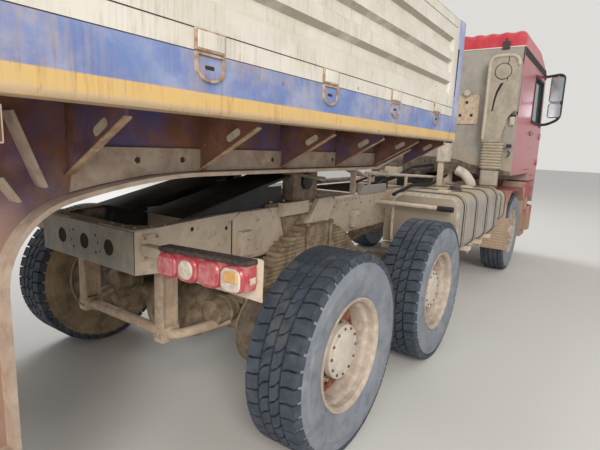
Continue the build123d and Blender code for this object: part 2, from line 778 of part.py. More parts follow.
with BuildPart() as cab_interior:
    x = front_axle_x
    floor, foot = cab_floor + cab_wall + seat_gap, footwell_floor + cab_wall + seat_gap
    for y in (-620, 620):
        block((x + 150, x + 660), (y - 250, y + 250), (floor, 1780))
        seat_back = [(x + 100, 1700), (x + 260, 1700), (x + 130, 2420), (x - 10, 2420)]
        plate(seat_back, (y - 240, y + 240))
    block((x - 650, x - 60), (-1100, 1100), (floor, 1760))
    dash = [
        (x + 1010, 1600),
        (x + 1300, 1440),
        (x + 1300, 1900),
        (x + 1120, 1930),
        (x + 1010, 1850),
    ]
    plate(dash, (seat_gap - inner_width, inner_width - seat_gap))
    round_bar((x + 1060, 620, 1700), (x + 830, 620, 1960), 30)
    with BuildSketch(Plane(origin=(x + 830, 620, 1960), z_dir=(-0.66, 0, 0.75))) as wheel:
        RegularPolygon(225, 16, major_radius=False)
        RegularPolygon(190, 16, major_radius=False, mode=Mode.SUBTRACT)
        Rectangle(60, 390)
    extrude(wheel.sketch, amount=28)
save(cab_interior, "cab_interior")

with BuildPart() as door:
    cab_prism(door_outline, (inner_width + 4, cab_half_width))
    cab_prism(door_window, (inner_width, cab_half_width + 1), mode=Mode.SUBTRACT)
    handle = (cab_half_width - 10, cab_half_width + 28)
    block((front_axle_x + 300, front_axle_x + 440), handle, (1880, 1915))
    hinge_x, barrel_y = front_axle_x + door_axis[0], door_axis[1]
    for low in door_hinges:
        rod((hinge_x, barrel_y, low + 50.5), (hinge_x, barrel_y, low + 100), door_barrel)
        block((hinge_x - 60, hinge_x), (cab_half_width + seat_gap, cab_half_width + 6), (low + 50.5, low + 100))
        block((hinge_x - 60, hinge_x - 24), (cab_half_width - 2, cab_half_width + 1), (low + 50.5, low + 100))
save_pair(door, "door")

with BuildPart() as door_glass:
    cab_prism(door_window, (1165, 1173), -seat_gap)
save_pair(door_glass, "door_glass")

with BuildPart() as mirror_arm:
    x = front_axle_x + 1150
    for z in (1900, 2560):
        round_bar((x, 1230, z), (x, 1560, z), 14, 8)
        block((x - 30, x + 30), (cab_half_width + seat_gap, 1235), (z - 40, z + 40))
    round_bar((x, 1560, 1886), (x, 1560, 2574), 14, 8)
    block((x - 60, x + 40), (1440, 1660), (2130, 2500))
    block((x - 60, x + 40), (1440, 1660), (1950, 2110))
save_pair(mirror_arm, "mirror")


# Trailer beams: goosenecked side views, cross plates with outriggers, kingpin plate and kingpin
def beam_outline(inset):
    """The gooseneck beam's side view as a face, with its edges moved inwards by inset."""
    front, rear = trailer_front_x - 40 - inset, trailer_rear_x + 90 + inset
    foot, neck, top = beam_foot + inset, coupling_height + inset, deck_top - deck_thickness - inset
    big, small = neck_sweep_radius + inset, neck_corner_radius + inset
    sweep_x = neck_drop_x + neck_sweep_radius * sin(neck_sweep) + neck_corner_radius * (1 - sin(neck_sweep))
    sweep_z = coupling_height - neck_sweep_radius
    reach = neck_sweep_radius - neck_corner_radius
    corner_x, corner_z = sweep_x - reach * sin(neck_sweep), sweep_z + reach * cos(neck_sweep)
    outline = [(front, top), (front, neck + nose_rise), (nose_start_x, neck)]
    for share in (0, 1 / 3, 2 / 3, 1):
        turn = share * neck_sweep
        outline.append((sweep_x - big * sin(turn), sweep_z + big * cos(turn)))
    for share in (0.2, 0.4, 0.6, 0.8, 1):
        turn = neck_sweep + share * (pi / 2 - neck_sweep)
        outline.append((corner_x - small * sin(turn), corner_z + small * cos(turn)))
    outline += [
        (corner_x - small, foot),
        (beam_rise[0], foot),
        (beam_rise[1], beam_tail_foot + inset),
        (rear, beam_tail_foot + inset),
        (rear, top),
    ]
    with BuildSketch(Plane.XZ) as flat:
        Polygon(*outline, align=None)
    return flat.sketch


plate_top = deck_top - deck_thickness
with BuildPart() as trailer_beams:
    for _, side in sides:
        flange = beam_flange_width / 2
        start = side * beam_y
        extrude(beam_outline(0).moved(Location((0, start + flange, 0))), amount=beam_flange_width)
        pocket = flange - beam_web / 2 + 1
        for way in (-1, 1):
            near = start + way * beam_web / 2
            far = start + way * (flange + 1)
            inside_face = beam_outline(beam_flange).moved(Location((0, max(near, far), 0)))
            extrude(inside_face, amount=pocket, mode=Mode.SUBTRACT)
    reach = half_width - side_rail_wall - seat_gap
    tip = half_width - side_rail_flange - 5
    half_cross = [
        (reach, plate_top),
        (reach, side_rail_foot + 14),
        (tip, side_rail_foot + 14),
        (tip, side_rail_foot - 20),
        (beam_y + 50, 1525),
        (beam_y - 50, 1560),
    ]
    cross = half_cross + [(-y, z) for y, z in reversed(half_cross)]
    station = trailer_front_x - 60
    while station > trailer_rear_x + 110:
        bar(cross, (station, station + 8))
        station -= member_pitch
    block(
        (trailer_front_x - 40, trailer_front_x - 18 - seat_gap),
        (-beam_y - 60, beam_y + 60),
        (coupling_height + nose_rise, plate_top),
    )
    sole = [
        (kingpin_x - 650, coupling_height),
        (trailer_front_x - 338, coupling_height),
        (trailer_front_x - 41, coupling_height + nose_rise - 5),
        (trailer_front_x - 41, coupling_height + nose_rise + 9),
        (trailer_front_x - 338, coupling_height + 14),
        (kingpin_x - 650, coupling_height + 14),
    ]
    plate(sole, (-beam_y, beam_y))
    rod((kingpin_x, 0, coupling_height - 88), (kingpin_x, 0, coupling_height + 5), kingpin_radius)
    # Doubler plates on the webs, and stiffeners at the drop
    for _, side in sides:
        doubler = [
            (kingpin_x - 1946, 1525),
            (kingpin_x - 1868, 1568),
            (kingpin_x - 1487, 1588),
            (kingpin_x - 1410, 1520),
            (kingpin_x - 1420, coupling_height + 10),
            (kingpin_x - 1800, coupling_height),
        ]
        plate(doubler, on_both(side, (beam_y + 5, beam_y + 14)))
save(trailer_beams, "trailer_beams")

# Trailer rails: the side rails with their posts and hinge lugs, and the end rails
with BuildPart() as trailer_rails:
    for _, side in sides:
        outer, inner = side * half_width, side * (half_width - side_rail_flange)
        span = (trailer_rear_x + 10, trailer_front_x - 10)
        block(span, (outer, outer - side * side_rail_wall), (side_rail_foot, deck_top))
        for low in (side_rail_foot, deck_top - side_rail_wall):
            block(span, (outer, inner), (low, low + side_rail_wall))
        for end in (trailer_front_x - post_width, trailer_rear_x):
            block((end, end + post_width), (outer, inner), (deck_top - side_rail_wall, board_top + 10))
        for along in section_ends[1:-1]:
            x = trailer_front_x - along
            block((x - 35, x + 35), (outer, outer - side * 50), (deck_top - 20, board_top))
        for first, last in zip(section_ends[:-1], section_ends[1:]):
            for share in hinge_share:
                x = trailer_front_x - first - share * (last - first)
                if first:
                    rod((x - 30, side * hinge_y, hinge_z), (x + 30, side * hinge_y, hinge_z), hinge_radius)
                block((x - 30, x + 30), (outer, side * (hinge_y + 2)), (hinge_z - 60, hinge_z - 2))
    for x in (trailer_front_x - 18, trailer_rear_x):
        block((x, x + 18), (-half_width, half_width), (side_rail_foot, deck_top))
    axis_x = trailer_rear_x - hinge_out
    for share in (0.15, 0.5, 0.85):
        y = (2 * share - 1) * half_width
        rod((axis_x, y - 30, hinge_z), (axis_x, y + 30, hinge_z), hinge_radius)
        block((trailer_rear_x - 14, trailer_rear_x + 1), (y - 30, y + 30), (hinge_z - 60, hinge_z - 2))
save(trailer_rails, "trailer_rails")

with BuildPart() as trailer_deck:
    edge = half_width - side_rail_flange - 1
    block(
        (trailer_rear_x + board_depth + 8, trailer_front_x - board_depth - 8),
        (-edge, edge),
        (plate_top + seat_gap, deck_top),
    )
save(trailer_deck, "trailer_deck")


def board_profile(outer, inner, low, high):
    """The section of a grooved board: (offset, z) points, with grooves in its outer face."""
    valley = outer - groove_depth if outer > inner else outer + groove_depth
    points = [(inner, low), (inner, high), (outer, high)]
    for drop in groove_drops:
        top, foot = board_top - drop, board_top - drop - groove_height
        points += [(outer, top), (valley, top - 20), (valley, foot + 22), (outer, foot)]
    return points + [(outer, low)]


board_low = deck_top + 6
fixed_low = deck_top + seat_gap
for index, name in enumerate(("front", "middle", "rear")):
    first, last = section_ends[index], section_ends[index + 1]
    room = middle_post_width / 2 + 6
    x = (trailer_front_x - last + room, trailer_front_x - first - room)
    if index == 0:
        x = (x[0], trailer_front_x - post_width - 10)
    if index == 2:
        x = (trailer_rear_x + post_width + 10, x[1])
    with BuildPart() as board:
        low = board_low if index else fixed_low
        bar(board_profile(half_width, half_width - board_depth, low, board_top), x)
        for share in hinge_share if index else ():
            lug_x = trailer_front_x - first - share * (last - first)
            for near in (lug_x - 60.5, lug_x + 30.5):
                round_bar((near, hinge_y, hinge_z), (near + 30, hinge_y, hinge_z), hinge_radius, 8)
                block((near, near + 30), (half_width - 10, hinge_y + 8), (hinge_z + 10.5, hinge_z + 60))
                block((near, near + 30), (hinge_y - 6, hinge_y + 8), (hinge_z, hinge_z + 14))
    if index:
        save_pair(board, f"{name}_board")
    else:
        with BuildPart() as pair:
            add(board.part)
            add(mirror(board.part, about=Plane.XZ))
        save(pair, "front_side_boards")

with BuildPart() as headboard:
    profile = board_profile(trailer_front_x, trailer_front_x - board_depth, fixed_low, board_top)
    plate(profile, (-half_width + 76, half_width - 76))
save(headboard, "headboard")

with BuildPart() as tailgate:
    profile = board_profile(trailer_rear_x, trailer_rear_x + board_depth, board_low, board_top)
    plate(profile, (-half_width + 80, half_width - 80))
    for share in (0.15, 0.5, 0.85):
        lug_y = (2 * share - 1) * half_width
        for near in (lug_y - 60.5, lug_y + 30.5):
            axis_x = trailer_rear_x - hinge_out
            rod((axis_x, near, hinge_z), (axis_x, near + 30, hinge_z), hinge_radius)
            block((axis_x - 8, trailer_rear_x + 10), (near, near + 30), (hinge_z + 10.5, hinge_z + 60))
            block((axis_x - 8, axis_x + 6), (near, near + 30), (hinge_z, hinge_z + 14))
save(tailgate, "tailgate")

# Trailer bogie: tube axles under leaf springs, hung from two sub-beams under the cross plates
with BuildPart() as trailer_bogie:
    axle_places = [trailer_bogie_x + way * trailer_axle_spacing / 2 for way in (1, -1)]
    for x in axle_places:
        rod((x, -1080, axle_height), (x, 1080, axle_height), spindle_radius)
        round_bar((x, -700, axle_height), (x, 700, axle_height), 64)
        for _, side in sides:
            leaf = [
                (x - 560, 735),
                (x, 640),
                (x + 560, 735),
                (x + 560, 750),
                (x, 725),
                (x - 560, 750),
            ]
            plate(leaf, on_both(side, (460, 540)))
            block((x - 80, x + 80), on_both(side, (450, 550)), (580, 740))
    span = (trailer_bogie_x - 1560, trailer_bogie_x + 1560)
    for _, side in sides:
        block(span, on_both(side, (445, 555)), (1000, 1014))
        block(span, on_both(side, (445, 555)), (1546, 1560 - seat_gap))
        block(span, on_both(side, (494, 506)), (1013, 1547))
        for x in (axle_places[0] + 600, trailer_bogie_x, axle_places[1] - 600):
            hanger = [(x - 150, 1001), (x + 150, 1001), (x + 75, 720), (x - 75, 720)]
            plate(hanger, on_both(side, (455, 545)))
save(trailer_bogie, "trailer_bogie")

with BuildPart() as landing_legs:
    x = neck_drop_x - 400
    for _, side in sides:
        block((x - 60, x + 60), on_both(side, (680, 800)), (640, 1545))
        block((x - 48, x + 48), on_both(side, (692, 788)), (440, 660))
        block((x - 130, x + 130), on_both(side, (610, 870)), (424, 442))
        for low in (900, 1430):
            block((x - 90, x + 90), on_both(side, (790, beam_y - beam_web / 2 - seat_gap)), (low, low + 90))
    round_bar((x, -690, 780), (x, 690, 780), 20, 8)
save(landing_legs, "landing_legs")

with BuildPart() as trailer_tail:
    x = trailer_rear_x + 260
    block((x, x + 60), (-1150, 1150), (470, 590))
    for _, side in sides:
        hanger = [(x, 470), (x + 60, 470), (x + 60, 1300), (x, 1420)]
        plate(hanger, on_both(side, (beam_y + beam_flange_width / 2 + seat_gap, beam_y + 85)))
        block((x - 40, x + 20), on_both(side, (560, 1020)), (600, 740))
        block((x + 10, x + 50), on_both(side, (620, 1000)), (580, 640))
save(trailer_tail, "trailer_tail")

# Coiled air line from the trailer's front to the cab's back wall
with BuildPart() as air_line:
    start = Vector(trailer_front_x - 18, -500, 1560)
    end = Vector(duct_x - seat_gap, -400, 1750)
    points = [start, start + Vector(120, 0, 0)]
    for share in (0.3, 0.5, 0.7):
        point = start + (end - start) * share
        points.append(point - Vector(0, 0, 300 * share * (1 - share)))
    points += [end - Vector(120, 0, 0), end]
    for first, last in zip(points[:-1], points[1:]):
        round_bar(tuple(first), tuple(last), 36, 10)
save(air_line, "air_line")
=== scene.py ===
"""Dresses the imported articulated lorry: finishes on its CAD nodes, and the tyres, rims, lamps, tanks,
intake, hose, cab fittings and small parts that stand for or sit on them.

Metres. +X is forwards, +Y is the lorry's left, +Z is up, and the ground is at z = 0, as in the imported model.
"""

import json
from math import cos, pi, radians, sin, sqrt
import random

import bmesh
import bpy
from bpy.props import FloatProperty, FloatVectorProperty, IntProperty, PointerProperty
from mathutils import Matrix, Vector
from mathutils.geometry import tessellate_polygon


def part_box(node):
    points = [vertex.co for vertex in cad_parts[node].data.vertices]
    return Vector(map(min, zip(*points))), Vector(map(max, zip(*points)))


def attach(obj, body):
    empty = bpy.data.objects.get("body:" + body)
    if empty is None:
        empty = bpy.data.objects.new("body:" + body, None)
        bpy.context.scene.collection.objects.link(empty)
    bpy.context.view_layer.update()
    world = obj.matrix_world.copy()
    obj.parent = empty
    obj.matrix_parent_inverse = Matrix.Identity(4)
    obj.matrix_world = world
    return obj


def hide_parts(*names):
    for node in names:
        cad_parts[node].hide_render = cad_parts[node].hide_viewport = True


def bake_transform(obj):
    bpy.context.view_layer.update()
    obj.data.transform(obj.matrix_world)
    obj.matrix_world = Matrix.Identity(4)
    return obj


bl_info = {
    "name": "Articulated lorry dressing",
    "version": (1, 0, 0),
    "blender": (4, 5, 0),
    "location": "3D View > Sidebar > Lorry",
    "description": "Finishes and detail for a packed tractor unit and drop-side semi-trailer",
    "category": "Object",
}

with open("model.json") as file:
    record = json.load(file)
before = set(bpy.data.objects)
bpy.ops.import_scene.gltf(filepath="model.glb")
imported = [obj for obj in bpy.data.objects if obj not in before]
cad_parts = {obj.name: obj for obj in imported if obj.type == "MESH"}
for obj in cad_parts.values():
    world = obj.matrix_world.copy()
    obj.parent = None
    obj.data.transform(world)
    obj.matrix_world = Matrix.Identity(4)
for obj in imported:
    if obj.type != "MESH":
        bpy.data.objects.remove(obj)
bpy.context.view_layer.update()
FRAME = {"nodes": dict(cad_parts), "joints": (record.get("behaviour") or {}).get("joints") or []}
SPINS = {joint["child"]: Vector(joint["pos_m"]) for joint in FRAME["joints"] if joint["name"].endswith("_spin")}
SIDES = (("left", 1), ("right", -1))

# Places along the lorry, read from the frame
FRONT_AXLE = SPINS["front_wheel_left"].x
DRIVE_AXLE = SPINS["drive_front_wheel_left"].x
REAR_AXLE = SPINS["drive_rear_wheel_left"].x
KINGPIN = (DRIVE_AXLE + REAR_AXLE) / 2
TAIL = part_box("chassis_frame")[0].x
TRAILER_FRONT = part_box("trailer_rails")[1].x
TRAILER_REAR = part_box("trailer_deck")[0].x - 0.06
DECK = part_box("trailer_deck")[1].z
BOARD_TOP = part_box("headboard")[1].z
CAB_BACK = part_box("air_intake")[1].x
CAB_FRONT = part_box("cab_shell")[1].x
AXLE_HEIGHT = SPINS["front_wheel_left"].z

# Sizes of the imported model, in metres: outer faces of the tractor's rails, middle of each gooseneck beam, half the
# body's and the cab's width, axis of the board hinges, height of the rear member and of the coupling face, length of
# the neck behind the kingpin, radius at the foot of the tread, and where the side boards meet behind the front
RAIL_Y = 0.43
BEAM_Y = 0.88
HALF_WIDTH = 1.25
CAB_SIDE = 1.2
HINGE_Y, HINGE_Z = 1.262, 1.836
FRAME_LOW, FRAME_TOP = 0.955, 1.165
COUPLING = 1.465
NECK = 2.16
TREAD = 0.53
SECTIONS = (0.0, 3.9, 8.05, 12.0)
# Each hinge cap and loop of the side boards: the number of its section, and its x
HINGES = [(0, x) for x in (3.12, 2.464, 1.811, 1.155, 0.499, -0.157)]
for section in (1, 2):
    for share in (0.12, 0.31, 0.5, 0.69, 0.88):
        start, end = SECTIONS[section], SECTIONS[section + 1]
        HINGES.append((section, TRAILER_FRONT - start - share * (end - start)))


def colour(code):
    """An sRGB hex colour as linear RGBA."""
    parts = [int(code[i : i + 2], 16) / 255 for i in (1, 3, 5)]
    return [p / 12.92 if p <= 0.04045 else ((p + 0.055) / 1.055) ** 2.4 for p in parts] + [1.0]


def node(tree, kind, inputs=None, **settings):
    """Adds a node, with its settings, and each named or numbered input filled or linked."""
    made = tree.nodes.new(kind)
    for key, value in settings.items():
        setattr(made, key, value)
    for key, value in (inputs or {}).items():
        if isinstance(value, bpy.types.NodeSocket):
            tree.links.new(value, made.inputs[key])
        else:
            made.inputs[key].default_value = value
    return made


def finish(name, base, coats=(), roughness=0.6, metallic=0.0, grain=0.2, grain_size=6.0, **shader):
    """A surface under its coats of wear and of painted shade and highlight. A coat is (kind, colour, size in
    millimetres, share from 0 to 1 of the surface that it takes, strength from 0 to 1): patches lie anywhere, specks
    are chips, runs stream down, settled lies on faces that look up, under is painted shade on faces that look down,
    back lies on faces that look rearwards, and inboard on faces that look at the lorry's middle or forwards. Splash
    reaches up to its size as a height."""
    material = bpy.data.materials.new(name)
    material.use_nodes = True
    tree = material.node_tree
    tree.nodes.clear()
    place = node(tree, "ShaderNodeTexCoord").outputs["Object"]
    facing = node(tree, "ShaderNodeSeparateXYZ", {0: node(tree, "ShaderNodeNewGeometry").outputs["Normal"]}).outputs
    where = node(tree, "ShaderNodeSeparateXYZ", {0: place}).outputs

    def limits(value, low, high):
        return node(tree, "ShaderNodeMapRange", {"Value": value, "From Min": low, "From Max": high}).outputs[0]

    def sum_of(a, b, operation="MULTIPLY"):
        return node(tree, "ShaderNodeMath", {0: a, 1: b}, operation=operation).outputs[0]

    def noise(size, index, squash=1.0):
        drift = node(tree, "ShaderNodeMapping", {"Vector": place, "Scale": (1, 1, squash),
            "Location": (index * 3.7, index * 1.9, 0)})
        return node(tree, "ShaderNodeTexNoise", {"Vector": drift.outputs[0], "Scale": 1000 / size, "Detail": 5.0,
            "Roughness": 0.6}).outputs["Fac"]

    shade = colour(base)
    for index, (kind, tint, size, share, strength) in enumerate(coats):
        cut = 0.66 - 0.32 * share
        if kind == "splash":
            reach = sum_of(where["Z"], sum_of(noise(180, index), 0.5), "ADD")
            mask = limits(reach, size / 1000 + 0.25 + 0.12 * share, size / 1000 + 0.25 - 0.12 * share)
        elif kind == "band":
            mask = limits(where["Z"], size / 1000 + 0.002, size / 1000 - 0.002)
        elif kind == "specks":
            cells = node(tree, "ShaderNodeTexVoronoi", {"Vector": place, "Scale": 400 / size}).outputs
            mask = sum_of(limits(cells["Distance"], 0.34, 0.2), sum_of(cells["Color"], share, "LESS_THAN"))
        elif kind in ("back", "inboard", "under"):
            mask = limits(noise(size, index), cut - 0.12, cut + 0.12)
            if kind == "back":
                mask = sum_of(mask, limits(facing["X"], -0.3, -0.8))
            # Painted shade: a darker coat on faces that look down
            elif kind == "under":
                mask = sum_of(mask, limits(facing["Z"], -0.15, -0.6))
            else:
                side = sum_of(node(tree, "ShaderNodeMath", {0: where["Y"]}, operation="SIGN").outputs[0], facing["Y"])
                mask = sum_of(mask, sum_of(limits(side, -0.4, -0.8), limits(facing["X"], 0.4, 0.8), "MAXIMUM"))
        else:
            mask = limits(noise(size, index, 0.05 if kind == "runs" else 1.0), cut - 0.08, cut + 0.08)
            if kind == "settled":
                mask = sum_of(mask, limits(facing["Z"], 0.25, 0.8))
            if kind == "runs":
                mask = sum_of(mask, limits(noise(size * 14, index + 7), 0.45, 0.6))
        mask = sum_of(mask, strength)
        shade = node(tree, "ShaderNodeMix", {0: mask, 6: shade, 7: colour(tint)}, data_type="RGBA").outputs[2]
    fine = node(tree, "ShaderNodeTexNoise", {"Vector": place, "Scale": 1000 / grain_size, "Detail": 4.0,
        "Roughness": 0.7}).outputs["Fac"]
    bump = node(tree, "ShaderNodeBump", {"Strength": grain, "Distance": grain_size / 4000, "Height": fine})
    rough = node(tree, "ShaderNodeMapRange", {"Value": fine, "From Min": 0.3, "From Max": 0.7,
        "To Min": roughness - 0.08, "To Max": min(1.0, roughness + 0.08)})
    inputs = {"Base Color": shade, "Roughness": rough.outputs[0], "Metallic": metallic, "Normal": bump.outputs[0]}
    inputs.update(shader)
    surface = node(tree, "ShaderNodeBsdfPrincipled", inputs)
    node(tree, "ShaderNodeOutputMaterial", {"Surface": surface.outputs[0]})
    return material


